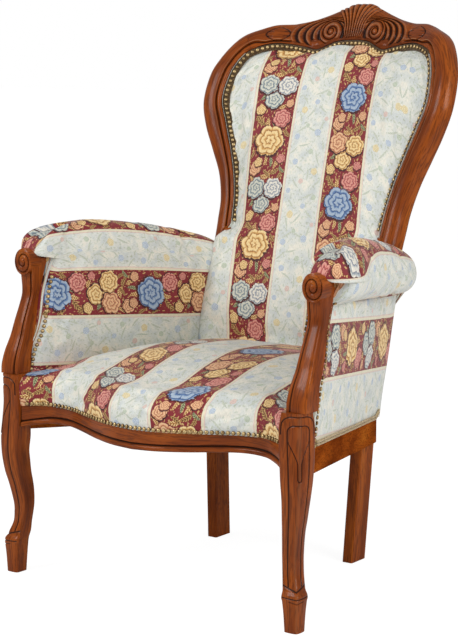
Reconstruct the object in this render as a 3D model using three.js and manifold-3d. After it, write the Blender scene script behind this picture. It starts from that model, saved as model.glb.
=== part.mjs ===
// A bergere armchair: a carved show-wood frame with cabriole front legs, a serpentine seat rail,
// scrolled arm posts and a balloon back, upholstered over webbing and foam.
// Millimetres, +Z up, the chair faces -Y. Depths are counted from the front legs' axis.

import * as THREE from 'three';
import Module from 'manifold-3d';

const wasm = await Module();
wasm.setup();

// Driving sizes of the whole chair
const overallHeight = 1100;
const frontLegSpacing = 650;
const rearLegSpacing = 331;
const legSpan = 446;
const backHalfWidth = 280;
const backHollow = 94;
const frontBow = 44.5;
const postJointHeight = 388;
const armHeight = 669;

// Seat frame
const railTopHeight = 345;
const seatFall = 36;
const showWoodHeight = 34;
const sideShowHeight = 49;
const upholsteredEdge = 17;
const railThickness = 32;
const frontOuterHalfWidth = 353;
const rearOuterHalfWidth = 215;
const beadHeight = 9;
const beadProjection = 3;
const grooveHeight = 3;
const backRailHeight = 60;
const backRailThickness = 26;
const cornerBlockLeg = 70;
const cornerBlockHeight = 24;

// Legs and posts
const kneeHalfWidth = 29.6;
const kneeProjection = 26.5;
const rearLegWidth = 24;
const rearLegDepth = 50;
const postWidth = 42;
const postLean = 6;
const postCoreSetback = 8;
const postCoreDepth = 14;
const woodChamfer = 4;
const scrollWidth = 42;
const scrollHeight = 51;
const scrollDrop = 70;
const scrollDepth = 46;
const scrollRopeRadius = 3.4;
const dowelRadius = 5;
const dowelLength = 44;

// Back frame and its carving
const backFrameDepth = 42;
const mouldingDepth = 4;
const edgeFallDepth = 15;
const voluteRadius = 22;
const voluteRopeRadius = 4.2;
const voluteSpread = 62;
const fanBaseLift = 4.5;
const fanBaseWidth = 5;
const fanTipWidth = 9;
const fanRelief = 7;
const leafWidth = 11;
const leafRelief = 8;
const shellRidgeLength = 24;
const shellRidgeWidth = 5;
const backLowerRailHeight = 45;
const backLowerRailPlace = 352;
const waistScrollRadius = 9;
const waistScrollDrop = 40;

// Arms
const armRollOuterRadius = 50;
const armInnerFrontHalf = 322;
const armInnerRearHalf = 197;
const armCentreFrontHalf = 348.6;
const armCentreRearHalf = 243.7;
const armPanelFrontHalf = 358;
const armPanelRearHalf = 240;
const armInnerCrown = 10;
const armRollHeight = 100;
const armCreaseFall = 34;
const armTopRailWidth = 38;
const armTopRailThickness = 20;
const armTopRailDrop = 62;
const armStuffingRailHeight = 26;
const armStuffingRailThickness = 12;
const armStuffingRailRise = 22;

// Upholstery
const coverThickness = 2;
const seatCrown = 30;
const seatEdgeRise = 58;
const seatNoseRadius = 26;
const backCrown = 46;
const backPadSeat = 10;
const lowerBackLift = 15;
const lowerBackHalfWidth = 202;
const outsideBackThickness = 5;
const outsideBackCrown = 5;
const webWidth = 52;
const webThickness = 1.6;
const dustCoverThickness = 1.2;
const dustCoverRecess = 8;

// Fits
const fitGap = 0.3;
const cutOverrun = 30;
const sliverSize = 0.1;

// Counts
const longWebCount = 4;
const crossWebCount = 3;
const backWebCount = 3;
const fanFluteCount = 7;
const shellRidgeCount = 4;

const frontHalf = frontLegSpacing / 2;
const rearHalf = rearLegSpacing / 2;
const scrollCentreHeight = armHeight - scrollDrop;
const armCreaseHeight = armHeight - armRollHeight;
const waistScrollHeight = armHeight - waistScrollDrop;

// Interpolation
const mix = (a, b, share) => a + (b - a) * share;
const clamp01 = (value) => Math.min(1, Math.max(0, value));
const ease = (value) => {
  const share = clamp01(value);
  return share * share * (3 - 2 * share);
};

// A smooth curve through the rows of a table: rows are [place, value, value, ...]
function smoothRow(rows, column, at) {
  const last = rows.length - 1;
  if (at <= rows[0][0]) return rows[0][column];
  if (at >= rows[last][0]) return rows[last][column];
  let index = 0;
  while (rows[index + 1][0] < at) index += 1;
  const slope = (i) => {
    const low = Math.max(0, i - 1);
    const high = Math.min(last, i + 1);
    return (rows[high][column] - rows[low][column]) / (rows[high][0] - rows[low][0]);
  };
  const span = rows[index + 1][0] - rows[index][0];
  const t = (at - rows[index][0]) / span;
  const t2 = t * t;
  const t3 = t2 * t;
  return (2 * t3 - 3 * t2 + 1) * rows[index][column] + (t3 - 2 * t2 + t) * span * slope(index)
    + (3 * t2 - 2 * t3) * rows[index + 1][column] + (t3 - t2) * span * slope(index + 1);
}

// Closed solids
const vector = (x, y, z) => new THREE.Vector3(x, y, z);

function solidFrom(points, triangles) {
  let volume = 0;
  for (const [a, b, c] of triangles) {
    volume += points[a].dot(new THREE.Vector3().crossVectors(points[b], points[c]));
  }
  const outward = volume > 0 ? triangles : triangles.map(([a, b, c]) => [a, c, b]);
  const vertProperties = new Float32Array(points.flatMap((p) => [p.x, p.y, p.z]));
  const triVerts = new Uint32Array(outward.flat());
  return new wasm.Manifold(new wasm.Mesh({ numProp: 3, vertProperties, triVerts }));
}

function ringNormal(ring) {
  const normal = vector(0, 0, 0);
  ring.forEach((p, i) => {
    const q = ring[(i + 1) % ring.length];
    normal.x += (p.y - q.y) * (p.z + q.z);
    normal.y += (p.z - q.z) * (p.x + q.x);
    normal.z += (p.x - q.x) * (p.y + q.y);
  });
  return normal.normalize();
}

function ringCentre(ring) {
  const centre = vector(0, 0, 0);
  ring.forEach((p) => centre.add(p));
  return centre.divideScalar(ring.length);
}

// Moves each corner of a ring outward in its own plane
function growRing(ring, grow) {
  const normal = ringNormal(ring);
  const count = ring.length;
  return ring.map((p, i) => {
    const before = p.clone().sub(ring[(i + count - 1) % count]).normalize().cross(normal);
    const after = ring[(i + 1) % count].clone().sub(p).normalize().cross(normal);
    const mean = before.add(after).normalize();
    const lean = Math.max(0.5, mean.dot(after));
    return p.clone().addScaledVector(mean, grow / lean);
  });
}

function capTriangles(ring, offset) {
  const normal = ringNormal(ring);
  const across = ring[1].clone().sub(ring[0]).normalize();
  const up = new THREE.Vector3().crossVectors(normal, across);
  const flat = ring.map((p) => new THREE.Vector2(p.dot(across), p.dot(up)));
  return THREE.ShapeUtils.triangulateShape(flat, []).map((face) => face.map((i) => i + offset));
}

// A loft through rings with the same number of points, grown on all sides by the same amount
function loft(rings, grow = 0) {
  const count = rings[0].length;
  const shaped = rings.map((ring) => (grow === 0 ? ring : growRing(ring, grow)));
  if (grow !== 0) {
    const last = rings.length - 1;
    const startWay = ringCentre(rings[0]).sub(ringCentre(rings[1])).normalize().multiplyScalar(grow);
    const endWay = ringCentre(rings[last]).sub(ringCentre(rings[last - 1])).normalize().multiplyScalar(grow);
    shaped[0] = shaped[0].map((p) => p.clone().add(startWay));
    shaped[last] = shaped[last].map((p) => p.clone().add(endWay));
  }
  const points = shaped.flat();
  const triangles = [];
  for (let r = 0; r < shaped.length - 1; r += 1) {
    for (let i = 0; i < count; i += 1) {
      const a = r * count + i;
      const b = r * count + ((i + 1) % count);
      triangles.push([a, b, b + count], [a, b + count, a + count]);
    }
  }
  const end = (shaped.length - 1) * count;
  capTriangles(shaped[0], 0).forEach(([a, b, c]) => triangles.push([a, c, b]));
  capTriangles(shaped[shaped.length - 1], end).forEach((face) => triangles.push(face));
  return solidFrom(points, triangles);
}

// A slab between two grids of points with the same counts
function slab(front, back) {
  const rows = front.length;
  const columns = front[0].length;
  const points = [...front.flat(), ...back.flat()];
  const half = rows * columns;
  const triangles = [];
  for (let r = 0; r < rows - 1; r += 1) {
    for (let c = 0; c < columns - 1; c += 1) {
      const a = r * columns + c;
      const b = a + 1;
      const d = a + columns;
      const e = d + 1;
      triangles.push([a, b, e], [a, e, d], [half + a, half + e, half + b], [half + a, half + d, half + e]);
    }
  }
  const rim = [];
  for (let c = 0; c < columns; c += 1) rim.push(c);
  for (let r = 1; r < rows; r += 1) rim.push(r * columns + columns - 1);
  for (let c = columns - 2; c >= 0; c -= 1) rim.push((rows - 1) * columns + c);
  for (let r = rows - 2; r > 0; r -= 1) rim.push(r * columns);
  rim.forEach((a, i) => {
    const b = rim[(i + 1) % rim.length];
    triangles.push([b, a, half + a], [b, half + a, half + b]);
  });
  return solidFrom(points, triangles);
}

// A grid of points moved along the surface's own normals
function offsetGrid(grid, distance, towards) {
  const rows = grid.length;
  const columns = grid[0].length;
  return grid.map((row, r) => row.map((p, c) => {
    const alongRow = row[Math.min(columns - 1, c + 1)].clone().sub(row[Math.max(0, c - 1)]);
    const alongColumn = grid[Math.min(rows - 1, r + 1)][c].clone().sub(grid[Math.max(0, r - 1)][c]);
    const normal = alongRow.cross(alongColumn).normalize();
    if (normal.dot(towards) < 0) normal.negate();
    return p.clone().addScaledVector(normal, distance);
  }));
}

function cut(body, ...tools) {
  return tools.reduce((rest, tool) => rest.subtract(tool), body);
}

// Cuts, and leaves out the offcuts that fall away from the piece
function trim(body, ...tools) {
  const bodies = cut(body, ...tools).decompose();
  return bodies.reduce((main, next) => (next.volume() > main.volume() ? next : main));
}

function join(body, ...others) {
  return others.reduce((sum, other) => sum.add(other), body);
}

// Materials
const wood = (colour) => new THREE.MeshStandardMaterial({ color: colour, roughness: 0.32, metalness: 0 });
const cloth = (colour) => new THREE.MeshStandardMaterial({ color: colour, roughness: 0.85, metalness: 0 });
const materials = {
  showWood: wood(0x8a4a22),
  plainWood: wood(0xb98a5c),
  dowelWood: wood(0xd2ab78),
  stripeFabric: cloth(0xb9a9a0),
  backFabric: cloth(0xc9c6bd),
  foam: cloth(0xe6dcb4),
  webbing: cloth(0x5b4a3a),
  dustCloth: cloth(0x26241f),
};

const group = new THREE.Group();
group.name = 'bergere_chair';

function addPiece(name, body, material) {
  const { vertProperties, numProp, triVerts } = body.simplify(sliverSize).getMesh();
  const positions = new Float32Array((vertProperties.length / numProp) * 3);
  for (let i = 0; i < positions.length / 3; i += 1) {
    positions.set(vertProperties.subarray(i * numProp, i * numProp + 3), i * 3);
  }
  const geometry = new THREE.BufferGeometry();
  geometry.setAttribute('position', new THREE.BufferAttribute(positions, 3));
  geometry.setIndex(new THREE.BufferAttribute(new Uint32Array(triVerts), 1));
  geometry.computeVertexNormals();
  const mesh = new THREE.Mesh(geometry, material);
  mesh.name = name;
  group.add(mesh);
}

const sides = [['left', -1], ['right', 1]];

// Seat frame lines: where the rails' tops and outer faces run
const railTopAt = (y) => railTopHeight - seatFall * (y / legSpan);
const nailLineAt = (y) => railTopAt(y) - upholsteredEdge;
const outerFaceAt = (y) => mix(frontOuterHalfWidth, rearOuterHalfWidth, y / legSpan);
const rebate = coverThickness + 2 * fitGap;
// The lengthwise webs lie on the front and back rails, one web's thickness above the side rails
const webSeatAt = (y) => railTopAt(y) + webThickness + fitGap;

// The serpentine front rail, in shares of the leg spacing and of the bow
const serpentineShares = [
  [0, -1], [0.154, -0.9], [0.308, -0.53], [0.462, -0.05], [0.615, 0.35],
  [0.769, 0.42], [0.862, 0.14], [0.935, -0.22], [1, -0.3],
];
const frontFaceAt = (x) => frontBow * smoothRow(serpentineShares, 1, Math.abs(x) / frontHalf);

// Front rail's show-wood: its top and bottom lines rise and fall a little along the width
const frontNailShares = [[0, 0.84], [0.31, 0.9], [0.62, 1.02], [0.77, 1.06], [1, 1.03]];
const frontBottomShares = [[0, 1.14], [0.31, 1.04], [0.62, 0.9], [0.77, 0.95], [0.9, 1.14], [1, 1.3]];
const frontNailAt = (x) => railTopHeight
  - upholsteredEdge * (2 - smoothRow(frontNailShares, 1, Math.abs(x) / frontHalf));
const frontBottomAt = (x) => railTopHeight - upholsteredEdge - showWoodHeight
  * smoothRow(frontBottomShares, 1, Math.abs(x) / frontHalf);

// Front legs: rows of height, outward edge and inward edge on the diagonal, and half width,
// in shares of the joint height, the knee's projection and the knee's half width
const legShares = [
  [0, 0.672, -0.694, 0.595], [0.088, 0.75, -0.79, 0.672], [0.142, 0.83, -0.86, 0.75],
  [0.158, 0.845, -0.887, 0.797], [0.173, 0.8, -0.93, 0.76], [0.188, 0.62, -1.0, 0.69],
  [0.206, 0.5, -1.075, 0.672], [0.253, 0.192, -1.155, 0.649], [0.3, 0.12, -1.27, 0.645],
  [0.343, 0.136, -1.347, 0.652], [0.407, 0.328, -1.347, 0.676], [0.46, 0.53, -1.26, 0.71],
  [0.505, 0.732, -1.155, 0.764], [0.56, 0.89, -1.09, 0.82], [0.613, 0.98, -1.04, 0.88],
  [0.688, 1, -1.155, 0.963], [0.773, 0.868, -1.13, 1], [0.856, 0.76, -1.13, 1],
  [0.93, 0.775, -1.13, 1], [1, 0.83, -1.13, 0.99],
];
// The leg's section: shares of the way out along the diagonal and across it
const legSectionShares = [
  [1, 0], [0.8, 0.36], [0.42, 0.76], [0, 1], [-0.42, 0.66], [-0.8, 0.28], [-1, 0],
  [-0.8, -0.28], [-0.42, -0.66], [0, -1], [0.42, -0.76], [0.8, -0.36],
];

function frontLegRings(side) {
  return legShares.map(([heightShare, outShare, inShare, widthShare]) => {
    const outEdge = kneeProjection * outShare;
    const inEdge = kneeProjection * inShare;
    const middle = (outEdge + inEdge) / 2;
    return legSectionShares.map(([alongShare, acrossShare]) => {
      const along = middle + alongShare * (alongShare > 0 ? outEdge - middle : middle - inEdge);
      const across = acrossShare * kneeHalfWidth * widthShare;
      const x = frontHalf + (along + across) * Math.SQRT1_2;
      const y = (across - along) * Math.SQRT1_2;
      return vector(side * x, y, postJointHeight * heightShare);
    });
  });
}
const frontLeg = (side, grow = 0) => loft(frontLegRings(side), grow);

function uprightDowelRings(x, y, z, length) {
  const turn = (2 * Math.PI) / 8;
  return [z - length / 2, z + length / 2].map((height) => Array.from({ length: 8 }, (_, i) => vector(
    x + dowelRadius * Math.cos(i * turn), y + dowelRadius * Math.sin(i * turn), height)));
}
const postDowel = (side, grow = 0) => loft(
  uprightDowelRings(side * frontHalf, 0, postJointHeight, dowelLength), grow);

// Arm posts: rows of height, front face, nail line and width, in shares of the way from the leg's
// joint to the arm's top, of the scroll's depth and of the post's width
const postShares = [
  [0, -0.2, 0.67, 1], [0.062, -0.17, 0.72, 1], [0.15, 0, 0.81, 0.93],
  [0.245, 0.29, 1.1, 0.82], [0.348, 0.53, 1.31, 0.74], [0.469, 0.86, 1.46, 0.69],
  [0.5405, 1.01, 1.56, 0.7], [0.6667, 0.99, 1.8, 0.78], [0.7715, 0.95, 1.98, 0.85],
];
const postCentre = frontHalf + postLean;
const postHeightAt = (share) => mix(postJointHeight, armHeight, share);
const postShareAt = (z) => (z - postJointHeight) / (armHeight - postJointHeight);
const postFrontAt = (z) => scrollDepth * smoothRow(postShares, 1, postShareAt(z));

function postRings(side) {
  return postShares.map(([heightShare, frontShare, nailShare, widthShare], row) => {
    const z = postHeightAt(heightShare) + (row === 0 ? fitGap : 0);
    const front = scrollDepth * frontShare;
    const nail = scrollDepth * nailShare;
    const half = (postWidth * widthShare) / 2;
    const core = half - postCoreSetback;
    const outline = [
      [-half, front + woodChamfer], [woodChamfer - half, front], [half - woodChamfer, front],
      [half, front + woodChamfer], [half, nail], [core, nail], [core, nail + postCoreDepth],
      [-core, nail + postCoreDepth], [-core, nail], [-half, nail],
    ];
    return outline.map(([x, y]) => vector(side * (postCentre + x), y, z));
  });
}

// The scroll's drum at the top of the post
const scrollFront = postFrontAt(scrollCentreHeight) - woodChamfer;
function scrollDrumRings(side) {
  const turn = (2 * Math.PI) / 18;
  return [0, scrollDepth * 0.62].map((depth) => Array.from({ length: 18 }, (_, i) => vector(
    side * (postCentre + 2 + (scrollWidth / 2) * Math.cos(i * turn)),
    scrollFront + depth,
    scrollCentreHeight + (scrollHeight / 2) * Math.sin(i * turn))));
}

// A tapering rope wound along a path of points, lying on a surface that faces towards `out`
function ropeRings(path, radiusAt, out) {
  const last = path.length - 1;
  return path.map((p, i) => {
    const along = path[Math.min(last, i + 1)].clone().sub(path[Math.max(0, i - 1)]).normalize();
    const lift = out.clone().addScaledVector(along, -out.dot(along)).normalize();
    const across = new THREE.Vector3().crossVectors(along, lift).normalize();
    const radius = radiusAt(i / last);
    const turn = (2 * Math.PI) / 6;
    return Array.from({ length: 6 }, (_, k) => p.clone()
      .addScaledVector(across, radius * Math.cos(k * turn))
      .addScaledVector(lift, radius * Math.sin(k * turn)));
  });
}

const scrollTurns = 1.6;
const scrollSteps = 22;
const scrollEyeShare = 0.2;
const ropeEndShare = 0.6;

function scrollRope(side) {
  const path = Array.from({ length: scrollSteps + 1 }, (_, i) => {
    const share = i / scrollSteps;
    const angle = -Math.PI / 2 + 2 * Math.PI * scrollTurns * share;
    const reach = mix(1, scrollEyeShare, share);
    return vector(
      side * (postCentre + 2 + (scrollWidth / 2 - scrollRopeRadius) * reach * Math.cos(angle)),
      scrollFront - scrollRopeRadius * 0.25 * share,
      scrollCentreHeight + (scrollHeight / 2 - scrollRopeRadius) * reach * Math.sin(angle));
  });
  return loft(ropeRings(path, (share) => scrollRopeRadius * mix(1, ropeEndShare, share), vector(0, -1, 0)));
}

function armPost(side) {
  return cut(join(loft(postRings(side)), loft(scrollDrumRings(side)), scrollRope(side)), postDowel(side, fitGap));
}
const armPostGrown = (side, grow) => join(loft(postRings(side), grow), loft(scrollDrumRings(side), grow));

// Rear legs: rows of height, place across and back, width and depth, as shares of the rail's top
// height, the rear leg spacing, the leg span, and the leg's own width and depth
const rearLegShares = [
  [0, 1, 1, 0.94, 1], [0.65, 1.069, 1.02, 1.08, 0.93], [0.845, 1.097, 1.0165, 1.36, 0.86],
];
const rearLegTop = railTopHeight * 0.845;

function chamferedSection(half, depth, chamfer) {
  return [
    [-half, chamfer - depth], [chamfer - half, -depth], [half - chamfer, -depth], [half, chamfer - depth],
    [half, depth - chamfer], [half - chamfer, depth], [chamfer - half, depth], [-half, depth - chamfer],
  ];
}

function rearLegRings(side) {
  return rearLegShares.map(([heightShare, xShare, yShare, widthShare, depthShare]) => {
    const outline = chamferedSection(
      (rearLegWidth * widthShare) / 2, (rearLegDepth * depthShare) / 2, woodChamfer / 2);
    return outline.map(([x, y]) => vector(
      side * (rearHalf * xShare + x), legSpan * yShare + y, railTopHeight * heightShare));
  });
}
const rearLeg = (side, grow = 0) => loft(rearLegRings(side), grow);
const stileFootShare = (rearLegTop + fitGap) / overallHeight;
const stileFootX = rearHalf * rearLegShares[2][1];
const stileFootY = legSpan * rearLegShares[2][2];
const stileDowel = (side, grow = 0) => loft(
  uprightDowelRings(side * stileFootX, stileFootY, rearLegTop, dowelLength), grow);

// The back's hollow surface: rows of height, depth on the centre line and hollow, in shares of the
// overall height, of the leg span and of the full hollow
const backLineShares = [
  [0.2545, 1.0, 0.35], [0.3273, 1.006, 0.38], [0.4091, 1.0556, 0.75], [0.5, 1.1457, 1],
  [0.6, 1.2365, 1], [0.7273, 1.3531, 1], [0.8636, 1.4778, 1], [0.9455, 1.5527, 1], [1, 1.602, 1],
];
const backSurfaceY = (x, z) => legSpan * smoothRow(backLineShares, 1, z / overallHeight)
  - backHollow * smoothRow(backLineShares, 2, z / overallHeight) * (x / backHalfWidth) ** 2;

// The way into the back at a point of its surface
function backNormal(x, z) {
  const step = backFrameDepth / 10;
  const slopeX = (backSurfaceY(x + step, z) - backSurfaceY(x - step, z)) / (2 * step);
  const slopeZ = (backSurfaceY(x, z + step) - backSurfaceY(x, z - step)) / (2 * step);
  return vector(-slopeX, 1, -slopeZ).normalize();
}
const onBack = (x, z, depth) => vector(x, backSurfaceY(x, z), z).addScaledVector(backNormal(x, z), depth);

// The back frame's outline: rows of inner and outer edge, each as height and half width,
// in shares of the overall height and of the back's half width
const stileShares = [
  [stileFootShare, 0.589, stileFootShare, 0.709], [0.4091, 0.6, 0.4091, 0.721], [0.5455, 0.632, 0.5455, 0.739],
  [0.6, 0.646, 0.6, 0.75], [0.6364, 0.661, 0.6364, 0.761], [0.6818, 0.7, 0.6818, 0.804],
  [0.7273, 0.757, 0.7273, 0.879], [0.7727, 0.821, 0.7727, 0.954], [0.8182, 0.879, 0.8182, 1],
  [0.8636, 0.866, 0.8682, 0.993], [0.8891, 0.832, 0.8982, 0.954], [0.9045, 0.793, 0.9255, 0.893],
  [0.9127, 0.75, 0.9436, 0.825],
];
const crestShares = [
  [0.9127, 0.75, 0.9436, 0.825], [0.92, 0.679, 0.9555, 0.725], [0.9236, 0.589, 0.9636, 0.629],
  [0.9209, 0.464, 0.9655, 0.489], [0.9155, 0.357, 0.9718, 0.371], [0.9118, 0.286, 0.9782, 0.296],
  [0.9182, 0.214, 0.9845, 0.232], [0.9264, 0.143, 0.9918, 0.164], [0.9291, 0.071, 0.9991, 0.086],
  [0.9295, 0, 1, 0],
];
// The frame's moulded section: shares of the way across and of the moulding's depth in front,
// then the back face in shares of the frame's depth
const frontSectionShares = [[0, 1.6], [0.03, 0.3], [0.14, 0], [0.27, 0.2], [0.36, 1], [0.6, 0.7], [0.84, 1.9]];
const rearSectionShares = [[1, 0.42], [1, 0.75], [0.88, 1], [0.1, 1], [0, 0.86]];

function frameRing(side, [innerZ, innerX, outerZ, outerX]) {
  const from = [backHalfWidth * innerX, overallHeight * innerZ];
  const to = [backHalfWidth * outerX, overallHeight * outerZ];
  const at = (share, depth) => {
    const p = onBack(mix(from[0], to[0], share), mix(from[1], to[1], share), depth);
    return vector(side * p.x, p.y, p.z);
  };
  return [
    ...frontSectionShares.map(([share, depthShare]) => at(share, mouldingDepth * depthShare)),
    ...rearSectionShares.map(([share, depthShare]) => at(share, backFrameDepth * depthShare)),
  ];
}

// The seam between stile and crest keeps the fit's gap: each side stops half of it short
function stileRings(side) {
  return stileShares.map((row) => frameRing(side, row));
}
function crestRings() {
  const right = crestShares.map((row) => frameRing(1, row));
  const left = crestShares.slice(0, -1).map((row) => frameRing(-1, row));
  return [...left, ...right.reverse()];
}

function shortenEnds(rings, distance, ends) {
  const shaped = rings.map((ring) => ring.map((p) => p.clone()));
  const last = rings.length - 1;
  if (ends.includes('start')) {
    const way = ringCentre(rings[1]).sub(ringCentre(rings[0])).normalize().multiplyScalar(distance);
    shaped[0].forEach((p) => p.add(way));
  }
  if (ends.includes('end')) {
    const way = ringCentre(rings[last - 1]).sub(ringCentre(rings[last])).normalize().multiplyScalar(distance);
    shaped[last].forEach((p) => p.add(way));
  }
  return shaped;
}

// A dowel across the seam
function seamDowel(side, grow = 0) {
  const inner = onBack(backHalfWidth * stileShares[12][1], overallHeight * stileShares[12][0], backFrameDepth / 2);
  const outer = onBack(backHalfWidth * stileShares[12][3], overallHeight * stileShares[12][2], backFrameDepth / 2);
  const nearInner = onBack(backHalfWidth * stileShares[11][1], overallHeight * stileShares[11][0], backFrameDepth / 2);
  const nearOuter = onBack(backHalfWidth * stileShares[11][3], overallHeight * stileShares[11][2], backFrameDepth / 2);
  const middle = inner.clone().lerp(outer, 0.5);
  const along = nearInner.lerp(nearOuter, 0.5).sub(middle).normalize();
  const across = outer.sub(inner).normalize();
  const deep = new THREE.Vector3().crossVectors(along, across).normalize();
  const square = new THREE.Vector3().crossVectors(deep, along).normalize();
  const turn = (2 * Math.PI) / 8;
  const rings = [-dowelLength / 2, dowelLength / 2].map((reach) => Array.from({ length: 8 }, (_, i) => {
    const p = middle.clone().addScaledVector(along, reach)
      .addScaledVector(square, dowelRadius * Math.cos(i * turn))
      .addScaledVector(deep, dowelRadius * Math.sin(i * turn));
    return vector(side * p.x, p.y, p.z);
  }));
  return loft(rings, grow);
}

// The small scroll carved where the show-wood stile dies into the arm
function waistScroll(side, grow = 0) {
  const x = backHalfWidth * 0.66;
  const turn = (2 * Math.PI) / 12;
  const rings = [-mouldingDepth * 0.6, backFrameDepth / 2].map((depth) => Array.from({ length: 12 }, (_, i) => {
    const p = onBack(x + waistScrollRadius * Math.cos(i * turn),
      waistScrollHeight + waistScrollRadius * Math.sin(i * turn), depth);
    return vector(side * p.x, p.y, p.z);
  }));
  return loft(rings, grow);
}

const stileGrown = (side, grow) => join(loft(stileRings(side), grow), waistScroll(side, grow));
function backStile(side) {
  const body = loft(shortenEnds(stileRings(side), fitGap / 2, ['end']));
  return cut(join(body, waistScroll(side)), rearLeg(side, fitGap), stileDowel(side, fitGap), seamDowel(side, fitGap));
}

// Crest carving: two volutes, a fan between them, leaves running out and a small shell panel each side
const crestInnerAt = (x) => overallHeight * smoothRow(
  crestShares.map((row) => [row[1], row[0]]).reverse(), 1, Math.abs(x) / backHalfWidth);
const crestOuterAt = (x) => overallHeight * smoothRow(
  crestShares.map((row) => [row[3], row[2]]).reverse(), 1, Math.abs(x) / backHalfWidth);
const voluteHeightShare = 0.455;
const voluteCentreHeight = mix(crestInnerAt(voluteSpread), crestOuterAt(voluteSpread), voluteHeightShare);
const fanBaseHeight = crestInnerAt(0) + fanBaseLift;
const voluteTurns = 1.7;
const voluteSteps = 22;
const voluteEyeShare = 0.16;
function volute(side) {
  const path = Array.from({ length: voluteSteps + 1 }, (_, i) => {
    const share = i / voluteSteps;
    const angle = 0.35 * Math.PI + 2 * Math.PI * voluteTurns * share;
    const reach = (voluteRadius - voluteRopeRadius) * mix(1, voluteEyeShare, share);
    const p = onBack(voluteSpread + reach * Math.cos(angle), voluteCentreHeight + reach * Math.sin(angle),
      -voluteRopeRadius * 0.35 * share);
    return vector(side * p.x, p.y, p.z);
  });
  return loft(ropeRings(path, (share) => voluteRopeRadius * mix(1, ropeEndShare, share), vector(0, -1, 0)));
}

// The boss under the volute's coil
function voluteBoss(side) {
  const turn = (2 * Math.PI) / 16;
  const reach = voluteRadius - voluteRopeRadius / 2;
  return loft([-voluteRopeRadius * 0.3, edgeFallDepth].map((depth) => Array.from({ length: 16 }, (_, i) => {
    const p = onBack(voluteSpread + reach * Math.cos(i * turn), voluteCentreHeight + reach * Math.sin(i * turn), depth);
    return vector(side * p.x, p.y, p.z);
  })));
}

// A ridge's section: shares of its width and, above the face, of its relief
const ridgeShares = [[-0.5, 1], [-0.46, -0.25], [-0.2, -0.85], [0, -1], [0.2, -0.85], [0.46, -0.25], [0.5, 1]];

// A ridge laid on the crest's face: rows of height, half width place, ridge width and relief
function ridge(rows, side) {
  const rings = rows.map(([x, z, width, relief], i) => {
    const next = rows[Math.min(rows.length - 1, i + 1)];
    const prior = rows[Math.max(0, i - 1)];
    const length = Math.hypot(next[0] - prior[0], next[1] - prior[1]);
    const acrossX = (next[1] - prior[1]) / length;
    const acrossZ = -(next[0] - prior[0]) / length;
    return ridgeShares.map(([share, depthShare]) => {
      const depth = depthShare > 0 ? edgeFallDepth * depthShare : relief * depthShare;
      const p = onBack(x + acrossX * width * share, z + acrossZ * width * share, depth);
      return vector(side * p.x, p.y, p.z);
    });
  });
  return loft(rings);
}

const fanSpreadShare = 0.62;
const fanReach = overallHeight - fanBaseHeight - fanTipWidth / 2;
function fanFlute(index) {
  const place = (index - (fanFluteCount - 1) / 2) / ((fanFluteCount - 1) / 2);
  const angle = place * fanSpreadShare;
  const reach = fanReach * mix(1, 0.9, place * place);
  const shares = [0, 0.45, 0.85, 1];
  const rows = shares.map((share) => [
    Math.sin(angle) * reach * share, fanBaseHeight + Math.cos(angle) * reach * share,
    mix(fanBaseWidth, fanTipWidth, share) * (share === 1 ? 0.55 : 1),
    fanRelief * mix(0.7, 1, share),
  ]);
  return ridge(rows, 1);
}

// Leaves leave the volute and run along the crest: shares of the way out and of the crest's height
const leafShares = [
  [[0.0, 0.3, 0.5], [0.3, 0.34, 1], [0.7, 0.5, 0.9], [1, 0.72, 0.3]],
  [[0.05, 0.62, 0.5], [0.35, 0.66, 1], [0.7, 0.8, 0.8], [0.9, 0.98, 0.3]],
];
const leafStart = voluteSpread + voluteRadius * 0.8;
const leafEnd = backHalfWidth * 0.52;

function leaf(side, rowsShares) {
  const rows = rowsShares.map(([outShare, upShare, widthShare]) => {
    const x = mix(leafStart, leafEnd, outShare);
    const z = mix(crestInnerAt(x), crestOuterAt(x), mix(0.2, 0.86, upShare));
    return [x, z, leafWidth * widthShare, leafRelief * mix(0.5, 1, widthShare)];
  });
  return ridge(rows, side);
}

const shellStart = backHalfWidth * 0.555;
const shellEnd = backHalfWidth * 0.68;
function shellRidge(side, index) {
  const share = index / (shellRidgeCount - 1);
  const x = mix(shellStart, shellEnd, share);
  const middle = mix(crestInnerAt(x), crestOuterAt(x), 0.5);
  const half = (shellRidgeLength / 2) * mix(1, 0.8, share);
  return ridge([
    [x - half * 0.2, middle - half, shellRidgeWidth * 0.6, leafRelief * 0.4],
    [x, middle, shellRidgeWidth, leafRelief * 0.55],
    [x + half * 0.2, middle + half, shellRidgeWidth * 0.6, leafRelief * 0.4],
  ], side);
}

function crestRail() {
  const ornaments = [];
  for (const [, side] of sides) {
    ornaments.push(volute(side), voluteBoss(side));
    leafShares.forEach((rows) => ornaments.push(leaf(side, rows)));
    for (let i = 0; i < shellRidgeCount; i += 1) ornaments.push(shellRidge(side, i));
  }
  for (let i = 0; i < fanFluteCount; i += 1) ornaments.push(fanFlute(i));
  const body = loft(shortenEnds(crestRings(), fitGap / 2, ['start', 'end']));
  return cut(join(body, ...ornaments), seamDowel(-1, fitGap), seamDowel(1, fitGap));
}

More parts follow.
